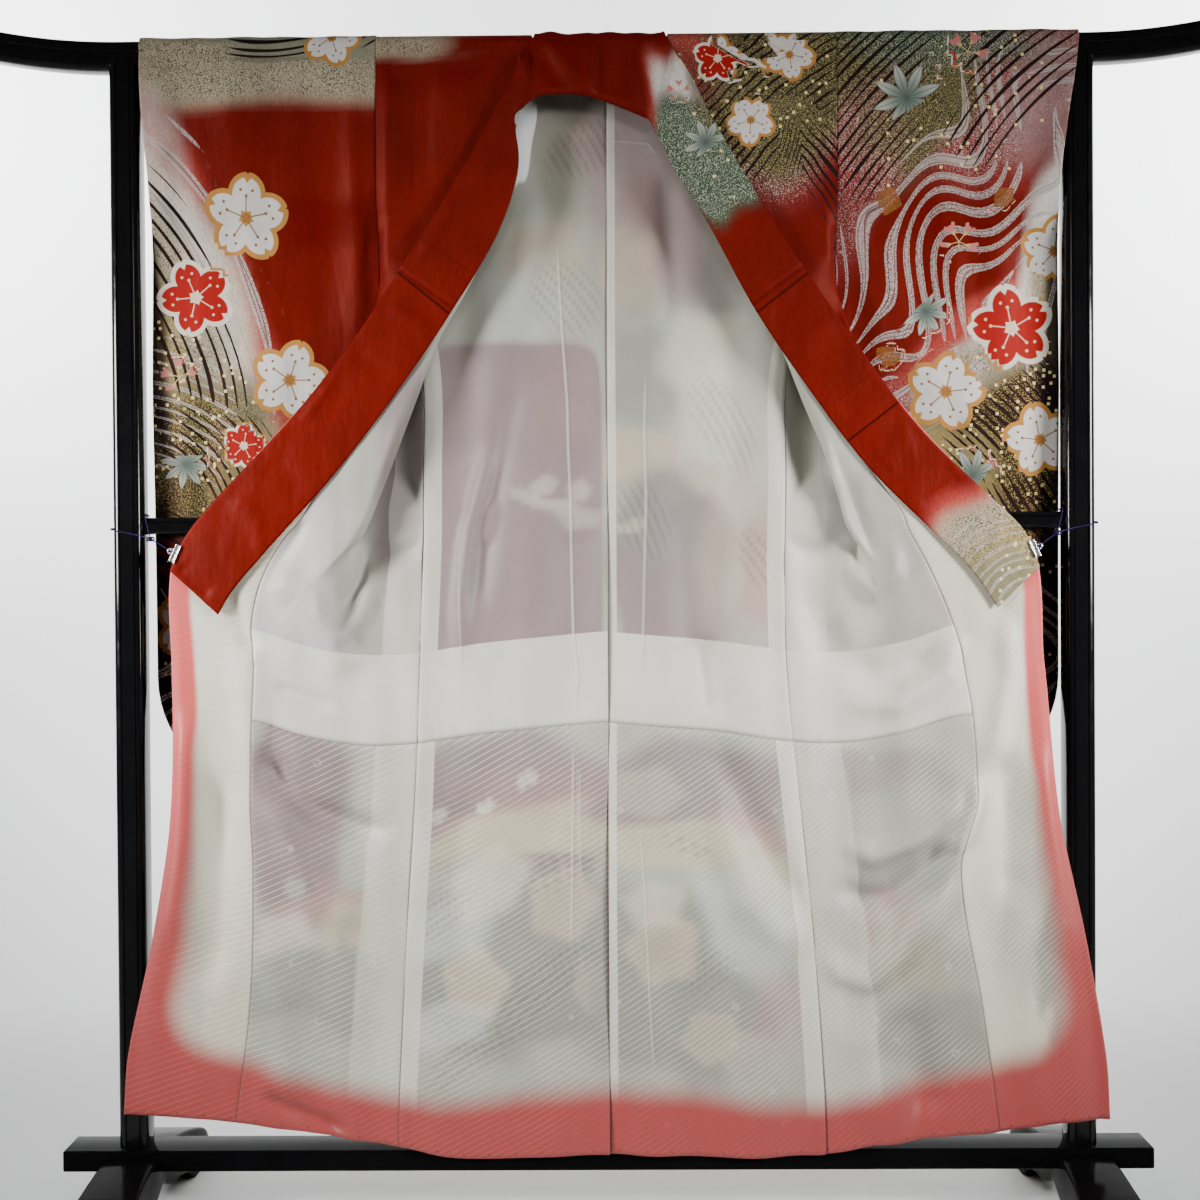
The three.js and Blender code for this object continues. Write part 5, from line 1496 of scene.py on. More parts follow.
def sleeveSheet(side):
    # A grid up the front, over the rail and down the back, and a strip that closes its outer edge.
    sign, seam = sides[side], garment["sleeveSeam"][side]
    bottom, corner, wrist = sleeve["bottom"], sleeve["corner"], sleeve["wristEnd"]
    edgeAt = smoothTable(sleeveEdgeRows[side])
    low = bottom + corner * (1 - np.cos(np.linspace(0, math.pi / 2, 15)))
    high = np.linspace(wrist, garment["railLow"], 25)[1:]
    heights = np.concatenate([low, np.linspace(low[-1], wrist, 78)[1:], high])
    shares = spaced(44, denseStart=True, denseEnd=True)
    drop = clamp01((bottom + corner - heights) / corner)
    edge = (edgeAt(heights) - corner * (1 - np.sqrt(np.maximum(1 - drop**2, 0))))[:, None]
    out = mix(seam, edge, shares[None])

    def layer(column):
        x, z = sign * out, heights[:, None] + 0 * out
        edges = ease(out - seam, 0, 40) * (0.3 + 0.7 * ease(edge - out, 0, 25))
        height = creased(f"sleeve_{side}", x, z) + waves(x, z, 71 + column + 4 * (side == "right"), 1.2)
        proud = height * edges * ease(1690 - z, 0, 60) * (-0.6 if column else 1)
        return np.stack([x, sleeveDepthAt(heights, column)[:, None] - proud, z], axis=2)

    front, back = layer(0), layer(1)
    top = []
    for depth, height in curveThrough(overRail, 4)[1:-1]:
        over = mix(seam, edgeAt(height), shares)
        ripple = 0.9 * (1 + np.sin(over / 15 + sign) * np.sin(over / 37)) * ease(height, 1696, 1702)
        top.append(np.stack([sign * over, 0 * over + depth, height + ripple], axis=1))
    main = np.concatenate([front, np.array(top), back[::-1]])
    closed = int(np.searchsorted(heights, wrist, side="right"))
    # The closed outer edge and the bottom bulge out a little between the two layers.
    rounding = 5
    ids = np.arange(main[..., 0].size).reshape(main.shape[:2])

    def rimOf(grid):
        return np.concatenate([grid[0, :-1], grid[:closed, -1]])

    rim, rimBack = rimOf(front), rimOf(back)
    tangent = np.gradient(rim, axis=0)
    tangent[:, 1] = 0
    tangent /= np.maximum(np.linalg.norm(tangent, axis=1, keepdims=True), 1e-9)
    outward = sign * np.stack([tangent[:, 2], 0 * tangent[:, 0], -tangent[:, 0]], axis=1)
    outward *= 4 * ease(wrist - rim[:, 2:], -1, 60)
    turns = np.linspace(0, math.pi, rounding + 2)[1:-1]
    bulge = [mix(rim, rimBack, (1 - math.cos(turn)) / 2) + outward * math.sin(turn) for turn in turns]
    strip = ids.size + np.arange(len(rim) * rounding).reshape(len(rim), rounding)
    strip = np.concatenate([rimOf(ids)[:, None], strip, rimOf(ids[::-1])[:, None]], axis=1)
    points = np.concatenate([main.reshape(-1, 3), np.stack(bulge, axis=1).reshape(-1, 3)])
    faces = np.concatenate([quadsOf(ids).reshape(-1, 4), quadsOf(strip).reshape(-1, 4)])
    if sign < 0:
        faces = faces[:, ::-1]
    uv = np.stack([np.abs(points[:, 0]) - seam, points[:, 2] - bottom], axis=1)
    uv[: ids.size, 1] = arcLength(main, 0)[:, 3].repeat(ids.shape[1])
    return points, faces, uv


for side in sides:
    points, faces, uv = sleeveSheet(side)
    normals = vertexNormals(points, faces)
    name = f"sleeve_{side}"
    facts, colours = printed(points[:, 0], points[:, 2], name)
    pieces[name] = shell(name + "_cloth", points, normals, faces, (0, 1.0), uv, facts, printFacts, colours)
    print(name, len(pieces[name].data.polygons) * 2)


# Stand and clips, modelled in edit mode. All sizes in millimetres.
stand = {
    "post": {
        "x": 682, "half": 21, "low": 110.3, "high": 1678, "edge": 9, "bead": 10, "cap": 11, "capIn": 0.76,
    },
    "rail": {
        "half": 920, "depth": 19, "low": 1658, "high": 1700, "groove": 1684, "rise": 5.55e-4, "riseFrom": 690,
    },
    "middle": {"half": 660.7, "depth": 12, "low": 994, "high": 1018, "edge": 6, "groove": 1011},
    "beam": {"half": 780, "depth": 33, "low": 80, "high": 110, "edge": 2.5},
    "foot": {"half": 39, "reach": 233, "high": 98, "flare": 0.17, "edge": 5},
}
clip = {
    "length": 26,
    "reach": 4.2,
    "wall": 1.0,
    "back": 3,
    "stack": 7.6,
    "wires": [(7, 0, 0, 4, 0.9), (4.6, 1.5, 2.2, 2.5, 0.8), (4.6, -1.5, -2.2, 2.5, 0.8)],
    "left": ((-605.2, -49.63, 965.5), (-613, 941), (-590, 990)),
    "right": ((608.5, -49.61, 964.5), (615, 939), (593, 990)),
}
# Underside and top of a foot, from its middle outwards.
footTop = [
    (0, 98), (41, 98), (70, 95.6), (105, 90.5), (140, 83.5), (175, 74.5), (205, 64.5), (218, 58),
    (228, 48), (233, 33),
]
footArch = [
    (0, 54), (13, 47.5), (30, 39), (48, 32.5), (67, 28.5), (95, 28), (120, 23), (142, 13.5), (159, 0),
    (233, 0),
]
fittings = {}


def selectOnly(*parts):
    bpy.ops.object.select_all(action="DESELECT")
    for part in parts:
        part.select_set(True)
        bpy.context.view_layer.objects.active = part


def startBox(name, low, high):
    selectOnly()
    low, high = np.array(low, float) * mm, np.array(high, float) * mm
    bpy.ops.mesh.primitive_cube_add(size=1, location=tuple((low + high) / 2))
    piece = bpy.context.active_object
    piece.name = piece.data.name = name
    piece.scale = tuple(high - low)
    bpy.ops.object.transform_apply(location=True, rotation=False, scale=True)
    bpy.ops.object.mode_set(mode="EDIT")
    return piece


def pick(piece, kind, test):
    # Selects the parts whose corners, in millimetres, pass a test.
    bpy.ops.mesh.select_mode(type=kind)
    bpy.ops.mesh.select_all(action="DESELECT")
    shape = bmesh.from_edit_mesh(piece.data)
    for part in {"VERT": shape.verts, "EDGE": shape.edges, "FACE": shape.faces}[kind]:
        corners = [part.co] if kind == "VERT" else [corner.co for corner in part.verts]
        part.select_set(bool(test(np.array(corners) / mm)))
    bmesh.update_edit_mesh(piece.data)


def cuts(axis, places):
    for place in places:
        point, normal = [0.0, 0.0, 0.0], [0.0, 0.0, 0.0]
        point[axis], normal[axis] = place * mm, 1.0
        bpy.ops.mesh.select_all(action="SELECT")
        bpy.ops.mesh.bisect(plane_co=point, plane_no=normal)


def roundEdges(piece, test, radius, segments):
    pick(piece, "EDGE", test)
    bpy.ops.mesh.bevel(offset=radius * mm, segments=segments, affect="EDGES")


def runsAlong(axis):
    # A test for edges that lie along one axis.
    return lambda c: abs(c[1, axis] - c[0, axis]) > 0.9 * np.linalg.norm(c[1] - c[0])


def finished(piece, node, slotName, angle=34):
    bpy.ops.mesh.select_all(action="SELECT")
    bpy.ops.mesh.normals_make_consistent(inside=False)
    bpy.ops.object.mode_set(mode="OBJECT")
    bpy.ops.object.shade_smooth_by_angle(angle=math.radians(angle))
    fittings[piece] = (node, slotName)
    return piece


def copied(piece, name):
    # The same piece again, with its own mesh.
    copy = piece.copy()
    copy.data = piece.data.copy()
    copy.name = copy.data.name = name
    bpy.context.scene.collection.objects.link(copy)
    return copy


def mirrored(piece, name):
    # The same piece on the other side of the middle.
    copy = copied(piece, name)
    selectOnly(copy)
    copy.scale = (-1, 1, 1)
    bpy.ops.object.transform_apply(location=True, rotation=False, scale=True)
    bpy.ops.object.mode_set(mode="EDIT")
    return copy


def grooveLine(piece, height, depth, wide):
    # A fine line run along the front and the back.
    cuts(2, (height - wide, height, height + wide))
    pick(piece, "VERT", lambda c: abs(c[0, 2] - height) < 0.05 and abs(c[0, 1]) > depth - 0.5)
    bpy.ops.transform.resize(value=(1, 1 - 1.7 / depth, 1), center_override=(0, 0, height * mm))


def makeRail():
    rail = stand["rail"]
    half, depth, low, high = rail["half"], rail["depth"], rail["low"], rail["high"]
    piece = startBox("top_rail_wood", (-half, -depth, low), (half, depth, high))
    alongX = runsAlong(0)
    roundEdges(piece, lambda c: alongX(c) and c[0, 2] > high - 1, 8.5, 5)
    roundEdges(piece, lambda c: alongX(c) and c[0, 2] < low + 1, 11, 6)
    grooveLine(piece, rail["groove"], depth, 3.2)
    outward = np.linspace(rail["riseFrom"] + 10, half - 4, 16)
    cuts(0, [*-outward, *outward, half * 0.998, -half * 0.998])
    for x in (*outward, half * 0.998, half):
        pick(piece, "VERT", lambda c: abs(abs(c[0, 0]) - x) < 0.2)
        bpy.ops.transform.translate(value=(0, 0, rail["rise"] * (x - rail["riseFrom"]) ** 2 * mm))
    pick(piece, "VERT", lambda c: abs(abs(c[0, 0]) - half) < 0.2)
    middle = (low + high) / 2 + rail["rise"] * (half - rail["riseFrom"]) ** 2
    bpy.ops.transform.resize(value=(1, 0.9, 0.9), center_override=(0, 0, middle * mm))
    finished(piece, "top_rail", "lacquered_wood")


def makePosts():
    post = stand["post"]
    x, half = -post["x"], post["half"]
    piece = startBox("post_left_wood", (x - half, -half, post["low"]), (x + half, half, post["high"]))
    roundEdges(piece, runsAlong(2), post["edge"], 5)
    for place in (x - post["bead"], x + post["bead"]):
        cuts(0, (place - 1.1, place, place + 1.1))
        pick(piece, "VERT", lambda c: abs(c[0, 0] - place) < 0.05 and abs(c[0, 1]) > half - 1)
        bpy.ops.transform.resize(value=(1, 1 - 1.3 / half, 1), center_override=(x * mm, 0, 0))
    cuts(2, (post["high"] - post["cap"],))
    pick(piece, "VERT", lambda c: c[0, 2] > post["high"] - 1)
    bpy.ops.transform.resize(value=(post["capIn"], 1, 1), center_override=(x * mm, 0, 0))
    finished(piece, "post_left", "lacquered_wood")
    finished(mirrored(piece, "post_right_wood"), "post_right", "lacquered_wood")


def makeBars():
    for kind, node in (("middle", "middle_rail"), ("beam", "base_beam")):
        bar = stand[kind]
        corner = np.array((bar["half"], bar["depth"], 0))
        piece = startBox(node + "_wood", (0, 0, bar["low"]) - corner, (0, 0, bar["high"]) + corner)
        if kind == "middle":
            roundEdges(piece, runsAlong(0), bar["edge"], 4)
            grooveLine(piece, bar["groove"], bar["depth"], 1.2)
        else:
            roundEdges(piece, lambda c: True, bar["edge"], 3)
        finished(piece, node, "lacquered_wood")


def makeFeet():
    foot = stand["foot"]
    x, half, reach, high = -stand["post"]["x"], foot["half"], foot["reach"], foot["high"]
    piece = startBox("foot_left_wood", (x - half, -reach, 0), (x + half, reach, high))
    places = sorted({place for place, _ in footTop + footArch if 0 < place < reach})
    cuts(1, [0.0, *places, *[-place for place in places]])
    topAt, archAt = np.array(footTop, float), np.array(footArch, float)
    for place in (0, *places, reach):
        above, below = np.interp(place, *topAt.T) - high, np.interp(place, *archAt.T)
        pick(piece, "VERT", lambda c: abs(abs(c[0, 1]) - place) < 0.1 and c[0, 2] > high - 0.1)
        bpy.ops.transform.translate(value=(0, 0, above * mm))
        pick(piece, "VERT", lambda c: abs(abs(c[0, 1]) - place) < 0.1 and c[0, 2] < 0.1)
        bpy.ops.transform.translate(value=(0, 0, below * mm))
        # the foot broadens a little towards its toes
        pick(piece, "VERT", lambda c: abs(abs(c[0, 1]) - place) < 0.1)
        wider = 1 + foot["flare"] * float(ease(place, 60, reach))
        bpy.ops.transform.resize(value=(wider, 1, 1), center_override=(x * mm, 0, 0))
    bpy.ops.object.mode_set(mode="OBJECT")
    bevel = piece.modifiers.new("bevel", "BEVEL")
    bevel.width, bevel.segments = foot["edge"] * mm, 4
    bevel.limit_method, bevel.angle_limit = "ANGLE", math.radians(38)
    bpy.ops.object.modifier_apply(modifier="bevel")
    bpy.ops.object.mode_set(mode="EDIT")
    finished(piece, "foot_left", "lacquered_wood", 40)
    finished(mirrored(piece, "foot_right_wood"), "foot_right", "lacquered_wood", 40)


def makeClips():
    # Two sprung jaws on a folded back, with a wire eye; local X points away from the cloth, Z along its edge.
    half, wall, stack = clip["length"] / 2, clip["wall"], clip["stack"] / 2
    parts = []
    for sign in (-1, 1):
        inner, outer = sorted((sign * stack, sign * (stack + wall)))
        jaw = startBox("jaw", (-clip["reach"], inner, -half), (clip["back"] - 0.6, outer, half))
        # a lip at the mouth, and a pressed panel
        pick(jaw, "FACE", lambda c: c[:, 0].max() < -clip["reach"] + 0.1)
        bpy.ops.mesh.extrude_region_move(TRANSFORM_OT_translate={"value": (-0.9 * mm, sign * 0.9 * mm, 0)})
        pick(jaw, "FACE", lambda c: abs(sign * c[:, 1] - stack - wall).max() < 0.05)
        bpy.ops.mesh.inset(thickness=1.5 * mm, depth=-0.85 * mm)
        roundEdges(jaw, runsAlong(2), 0.22, 2)
        bpy.ops.object.mode_set(mode="OBJECT")
        parts.append(jaw)
    back = startBox("back", (clip["back"] - 1.0, -stack - wall, -half), (clip["back"], stack + wall, half))
    roundEdges(back, runsAlong(2), 0.45, 3)
    bpy.ops.object.mode_set(mode="OBJECT")
    parts.append(back)
    for x, y, z, size, wire in clip["wires"]:
        selectOnly()
        bpy.ops.mesh.primitive_torus_add(
            location=(x * mm, y * mm, z * mm),
            rotation=(math.pi / 2, 0, 0),
            major_radius=size * mm,
            minor_radius=wire * mm,
            major_segments=40,
            minor_segments=12,
        )
        parts.append(bpy.context.active_object)
        bpy.ops.object.transform_apply(location=True, rotation=True, scale=True)
    selectOnly(*reversed(parts))
    bpy.ops.object.join()
    model = bpy.context.active_object
    for side, sign in reversed(sides.items()):
        middle, low, high = clip[side]
        along = Vector((high[0] - low[0], 0, high[1] - low[1])).normalized()
        outward = Vector((sign * along.z, 0, -sign * along.x))
        turned = Matrix((outward, along.cross(outward), along)).transposed().to_4x4()
        piece = copied(model, f"clip_{side}_steel")
        piece.data.transform(Matrix.Translation(Vector(middle) * mm) @ turned)
        selectOnly(piece)
        bpy.ops.object.mode_set(mode="EDIT")
        finished(piece, f"clip_{side}", "clip_steel")
    bpy.data.objects.remove(model)


makeRail()
makePosts()
makeBars()
makeFeet()
makeClips()
print("stand and clips done")


# Materials
class Wiring:
    # Puts nodes into a material or a node group.
    def __init__(self, tree):
        self.tree = tree

    def feed(self, socket, value):
        if value is None:
            return
        if isinstance(value, bpy.types.NodeSocket):
            self.tree.links.new(value, socket)
        elif isinstance(value, tuple) and socket.type == "RGBA" and len(value) == 3:
            socket.default_value = (*value, 1)
        else:
            socket.default_value = value

    def shade(self, name, value):
        self.feed(self.tree.nodes["Principled BSDF"].inputs[name], value)

    def put(self, kind, *inputs, **settings):
        made = self.tree.nodes.new(kind)
        for key, value in settings.items():
            setattr(made, key, value)
        for i, value in enumerate(inputs):
            self.feed(made.inputs[i], value)
        return made

    def named(self, made, **values):
        for name, value in values.items():
            self.feed(made.inputs[name], value)

    def math(self, operation, *inputs):
        return self.put("ShaderNodeMath", *inputs, operation=operation).outputs[0]

    def vector(self, operation, *inputs):
        return self.put("ShaderNodeVectorMath", *inputs, operation=operation).outputs[0]

    def blend(self, factor, first, second, how="MIX"):
        made = self.put("ShaderNodeMix", data_type="RGBA", blend_type=how)
        for place, value in ((0, factor), (6, first), (7, second)):
            self.feed(made.inputs[place], value)
        return made.outputs[2]

    def between(self, value, low, high, fromValue=0.0, toValue=1.0):
        # A soft step from one value to another.
        return self.put(
            "ShaderNodeMapRange", value, low, high, fromValue, toValue, interpolation_type="SMOOTHSTEP"
        ).outputs[0]

    def attribute(self, name, output="Fac"):
        return self.put("ShaderNodeAttribute", attribute_name=name).outputs[output]

    def place(self):
        return self.put("ShaderNodeTexCoord").outputs["Object"]

    def split(self, vector):
        return self.put("ShaderNodeSeparateXYZ", vector).outputs

    def join(self, *values):
        return self.put("ShaderNodeCombineXYZ", *values).outputs[0]

    def noise(self, vector, scale, detail=2.0, rough=0.5):
        made = self.put("ShaderNodeTexNoise", vector)
        self.named(made, Scale=scale, Detail=detail, Roughness=rough)
        return made.outputs["Fac"]

    def bump(self, height, distance, strength=1.0, normal=None):
        made = self.put("ShaderNodeBump")
        self.named(made, Strength=strength, Distance=distance, Height=height, Normal=normal)
        return made.outputs["Normal"]

    def plus(self, first, second):
        return self.math("ADD", first, second)

    def minus(self, first, second):
        return self.math("SUBTRACT", first, second)

    def both(self, first, second):
        return self.math("MULTIPLY", first, second)

    def either(self, first, second):
        return self.math("MAXIMUM", first, second)

    def size(self, value):
        return self.math("ABSOLUTE", value)

    def fraction(self, value):
        return self.math("FRACT", value)

    def reach(self, across, up):
        return self.math("SQRT", self.plus(self.both(across, across), self.both(up, up)))

    def below(self, value, low, high):
        # 1 below the low value, 0 above the high one.
        return self.between(value, low, high, 1.0, 0.0)

    def near(self, value, low, high):
        # 1 close to zero, on both sides of it.
        return self.below(self.size(value), low, high)

    def shaded(self, colour, grey):
        return self.blend(1.0, colour, self.join(grey, grey, grey), "MULTIPLY")

    def group(self, tree, *inputs):
        return self.put("ShaderNodeGroup", *inputs, node_tree=tree).outputs


def newMaterial(name):
    material = bpy.data.materials.new(name)
    material.use_nodes = True
    tree = material.node_tree
    return material, Wiring(tree), tree.nodes["Principled BSDF"]


def newGroup(name, inputs, outputs):
    # A shared effect: the sockets are (name, kind) pairs.
    tree = bpy.data.node_groups.new(name, "ShaderNodeTree")
    for socketName, kind in inputs:
        tree.interface.new_socket(socketName, in_out="INPUT", socket_type="NodeSocket" + kind)
    for socketName, kind in outputs:
        tree.interface.new_socket(socketName, in_out="OUTPUT", socket_type="NodeSocket" + kind)
    net = Wiring(tree)
    source = net.put("NodeGroupInput").outputs
    result = net.put("NodeGroupOutput").inputs
    return tree, net, source, result


def fixedValues(shader, values):
    # What is the same all over a surface.
    for name, value in values.items():
        shader.inputs[name].default_value = value


# Fine crossed threads, as a height.
weaveTree, weave, weaveIn, weaveOut = newGroup("weave", [("Cloth", "Vector")], [("Height", "Float")])
threads = weave.split(weave.vector("MULTIPLY", weaveIn["Cloth"], (2600.0, 2600.0, 0.0)))
crossed = weave.both(weave.math("SINE", threads[0]), weave.math("SINE", threads[1]))
uneven = weave.noise(weaveIn["Cloth"], 260.0, 3.0, 0.6)
weave.feed(weaveOut["Height"], weave.plus(weave.both(crossed, 0.35), uneven))

# Woven diagonal pinstripes with small hooks between them, as a mask.
stripeTree, stripe, stripeIn, stripeOut = newGroup("pinstripes", [("Place", "Vector")], [("Mask", "Float")])
stripeX, _, stripeZ = stripe.split(stripeIn["Place"])
bend = stripe.noise(stripeIn["Place"], 3.5, 1.0)
lean = stripe.plus(0.62, stripe.both(stripeX, 0.25))
offset = stripe.minus(stripeZ, stripe.both(stripeX, lean))
offset = stripe.plus(offset, stripe.both(bend, 0.03))
phase = stripe.fraction(stripe.both(offset, 112.0))
line = stripe.near(stripe.minus(phase, 0.5), 0.03, 0.1)
fade = stripe.between(stripe.noise(stripeIn["Place"], 9.0, 2.0), 0.36, 0.62, 0.25, 1.0)
cells = stripe.put("ShaderNodeTexVoronoi", stripeIn["Place"])
cells.inputs["Scale"].default_value = 17.0
cells.inputs["Randomness"].default_value = 0.55
ring = stripe.size(stripe.minus(cells.outputs["Distance"], 0.085))
hook = stripe.below(ring, 0.012, 0.03)
hook = stripe.both(hook, stripe.between(stripe.noise(stripeIn["Place"], 55.0, 0.0), 0.46, 0.52))
stripe.feed(stripeOut["Mask"], stripe.either(stripe.both(line, fade), stripe.both(hook, 0.35)))


liningLook = {
    "cream": ((0.58, 0.555, 0.47), (0.68, 0.655, 0.56)),
    "pinstripe": (0.86, 0.83, 0.74),
    "rose": ((0.33, 0.05, 0.046), (0.6, 0.085, 0.08)),
    "rosePinstripe": (0.62, 0.22, 0.18),
    "stitches": (0.12, 0.03, 0.03),
    # painted highlight and painted shadow of the narrow tucks
    "tuckHighlight": (0.74, 0.71, 0.63),
    "tuckShadow": (0.12, 0.09, 0.08),
    "seam": (0.12, 0.08, 0.06),
    "throughUpTo": (0.1285, 0.130),  # metres above the lining seam
}


def liningMaterial(name, skirt):
    material, net, shader = newMaterial(name)
    place = net.place()
    x, _, z = net.split(place)
    colour = net.attribute("tint", "Color")
    # The outer print shows through up to a level above the lining seam; the strips at the seams hide it.
    cream = net.blend(net.noise(place, 4.0, 2.0), *liningLook["cream"])
    hide = net.attribute("hide")
    if not skirt:
        level = net.attribute("overSeam")
        hide = net.either(hide, net.between(level, *liningLook["throughUpTo"], 0.86, 0.0))
    strips = net.attribute("strips")
    hide = net.either(hide, net.between(strips, 0.0, 0.0008, 0.0, net.attribute("stripShare")))
    colour = net.blend(hide, colour, cream)
    # Faint cloudiness.
    cloud = net.between(net.noise(place, 11.0, 4.0, 0.6), 0.3, 0.7, 0.93, 1.05)
    colour = net.shaded(colour, cloud)
    if skirt:
        stripes = net.group(stripeTree, place)["Mask"]
        colour = net.blend(net.both(stripes, 0.5), colour, liningLook["pinstripe"])
        soft = net.between(z, 0.3, 0.8, 0.026, 0.005)
        rose = net.below(net.attribute("rim"), net.both(soft, -1.0), soft)
        # the rose is lighter towards the top: partly its own colour, partly painted light
        roseGround = net.blend(net.between(z, 0.4, 0.85), *liningLook["rose"])
        roseColour = net.blend(net.both(stripes, 0.3), roseGround, liningLook["rosePinstripe"])
        colour = net.blend(rose, colour, roseColour)
        # Hem stitches.
        along = net.fraction(net.both(net.plus(x, 5.0), 27.0))
        dot = net.both(
            net.near(net.minus(along, 0.5), 0.03, 0.06),
            net.near(net.minus(net.attribute("fromHem"), 0.006), 0.0009, 0.0016),
        )
        colour = net.blend(net.both(dot, 0.75), colour, liningLook["stitches"])
    # Narrow tucks: a painted highlight on the ridge, and a painted shadow line along one side.
    tuck, share = net.attribute("tuck"), net.attribute("tuckShare")
    ridge = net.both(net.near(tuck, 0.0008, 0.0026), share)
    under = net.both(net.near(net.plus(tuck, 0.0034), 0.0004, 0.002), share)
    colour = net.blend(net.both(ridge, 0.36), colour, liningLook["tuckHighlight"])
    colour = net.blend(net.both(under, 0.2), colour, liningLook["tuckShadow"])
    # A dark line in the seams.
    seam = net.below(net.attribute("groove"), 0.0004, 0.0022)
    colour = net.blend(net.both(seam, 0.62), colour, liningLook["seam"])
    net.shade("Base Color", colour)
    fixedValues(shader, {"Roughness": 0.5, "Specular IOR Level": 0.34, "Sheen Weight": 0.12})
    cloth = net.put("ShaderNodeUVMap", uv_map="cloth").outputs[0]
    threads = net.group(weaveTree, cloth)["Height"]
    soft = net.noise(net.vector("MULTIPLY", place, (26.0, 26.0, 9.0)), 1.0, 2.0)
    normal = net.bump(soft, 0.0022, 0.5)
    normal = net.bump(ridge, 0.0016, 0.8, normal)
    net.shade("Normal", net.bump(threads, 0.00012, 0.35, normal))
    return material


# A five-petalled blossom about the middle of its place, 1 wide: petals, their rim, the marks on them.
blossomTree, flower, flowerIn, flowerOut = newGroup(
    "blossom", [("Place", "Vector")], [("Petal", "Float"), ("Rim", "Float"), ("Mark", "Float")]
)
flowerX, flowerY, _ = flower.split(flowerIn["Place"])
flowerFar = flower.reach(flowerX, flowerY)


def petalled(net, x, y, far, count):
    # Distances along a petal and out from its middle line.
    part = 2 * math.pi / count
    turn = net.fraction(net.plus(net.both(net.math("ARCTAN2", y, x), 1 / part), 0.5))
    turn = net.both(net.minus(turn, 0.5), part)
    along = net.both(far, net.math("COSINE", turn))
    out = net.size(net.both(far, net.math("SINE", turn)))
    return along, out


def roundSpot(net, along, out, alongAt, outAt):
    return net.reach(net.minus(along, alongAt), net.minus(out, outAt))


alongPetal, outPetal = petalled(flower, flowerX, flowerY, flowerFar, 5)
across, down = flower.both(flower.minus(alongPetal, 0.56), 1 / 0.41), flower.both(outPetal, 1 / 0.36)
oval = flower.reach(across, down)
oval = flower.both(flower.minus(oval, 1.0), 0.36)
notch = flower.minus(alongPetal, flower.plus(flower.both(outPetal, 1.5), 0.83))
petal = flower.either(oval, flower.both(notch, 0.55))
flower.feed(flowerOut["Petal"], flower.below(petal, -0.01, 0.012))
heart = flower.below(flowerFar, 0.16, 0.175)
flower.feed(flowerOut["Rim"], flower.either(flower.below(petal, 0.115, 0.128), heart))
dots = flower.below(roundSpot(flower, alongPetal, outPetal, 0.66, 0.15), 0.03, 0.045)
tip = flower.below(roundSpot(flower, alongPetal, outPetal, 0.52, 0.0), 0.032, 0.048)
stem = flower.both(flower.below(outPetal, 0.01, 0.022), flower.below(alongPetal, 0.5, 0.51))
middle = flower.near(flower.minus(flowerFar, 0.085), 0.012, 0.025)
flower.feed(flowerOut["Mark"], flower.either(flower.either(dots, tip), flower.either(stem, middle)))

# A spray of pointed leaves, and one of small bell flowers.
sprayParts = [(part, "Float") for part in ("Leaves", "Veins", "Bells", "Throats")]
sprayTree, spray, sprayIn, sprayOut = newGroup("spray", [("Place", "Vector")], sprayParts)
sprayX, sprayY, _ = spray.split(sprayIn["Place"])
sprayFar = spray.reach(sprayX, sprayY)
alongLeaf, outLeaf = petalled(spray, sprayX, sprayY, sprayFar, 8)
onLeaf = spray.put("ShaderNodeClamp", alongLeaf, 0.0, 1.0).outputs[0]
bulge = spray.both(spray.math("SINE", spray.both(onLeaf, 3.1416)), 0.15)
edge = spray.minus(outLeaf, bulge)
fan = spray.between(spray.minus(sprayY, spray.both(sprayX, 0.2)), -0.35, -0.3)
leaves = spray.both(spray.below(edge, -0.01, 0.01), fan)
spray.feed(sprayOut["Leaves"], leaves)
rimOfLeaf = spray.near(edge, 0.012, 0.024)
veins = spray.either(spray.below(outLeaf, 0.006, 0.016), rimOfLeaf)
spray.feed(sprayOut["Veins"], spray.both(veins, leaves))
alongBell, outBell = petalled(spray, sprayX, sprayY, sprayFar, 5)
bell = spray.minus(outBell, spray.both(spray.minus(alongBell, 0.32), 0.55))
scallop = spray.both(spray.math("SINE", spray.both(outBell, 26.0)), 0.05)
bell = spray.either(bell, spray.minus(spray.plus(alongBell, scallop), 0.86))
bells = spray.both(spray.below(bell, -0.01, 0.012), fan)
stalk = spray.both(spray.below(outBell, 0.012, 0.022), spray.below(alongBell, 0.4, 0.42))
spray.feed(sprayOut["Bells"], bells)
throat = spray.both(spray.below(alongBell, 0.4, 0.62), bells)
spray.feed(sprayOut["Throats"], spray.either(throat, spray.both(stalk, fan)))


silkLook = {
    "bandGlint": (0.44, 0.39, 0.36),
    "bandLine": (0.02, 0.004, 0.006),
    "ink": (0.007, 0.006, 0.007),
    "gilt": ((0.62, 0.46, 0.14), (0.85, 0.72, 0.36)),
    "leaf": ((0.10, 0.15, 0.12), (0.38, 0.42, 0.35)),
    "vein": (0.05, 0.06, 0.07),
    "bell": (0.48, 0.16, 0.15),
    "throat": (0.55, 0.42, 0.18),
    "tile": ((0.30, 0.09, 0.015), (0.10, 0.06, 0.02)),
    "paper": ((0.50, 0.48, 0.45), (0.66, 0.64, 0.60)),
    "redPetal": (0.32, 0.011, 0.01),
    "rims": ((0.40, 0.19, 0.045), (0.66, 0.60, 0.50)),  # of a white blossom, of a red one
    "marks": ((0.24, 0.11, 0.035), (0.70, 0.50, 0.34)),
    "crossSeam": (0.04, 0.002, 0.001),
}


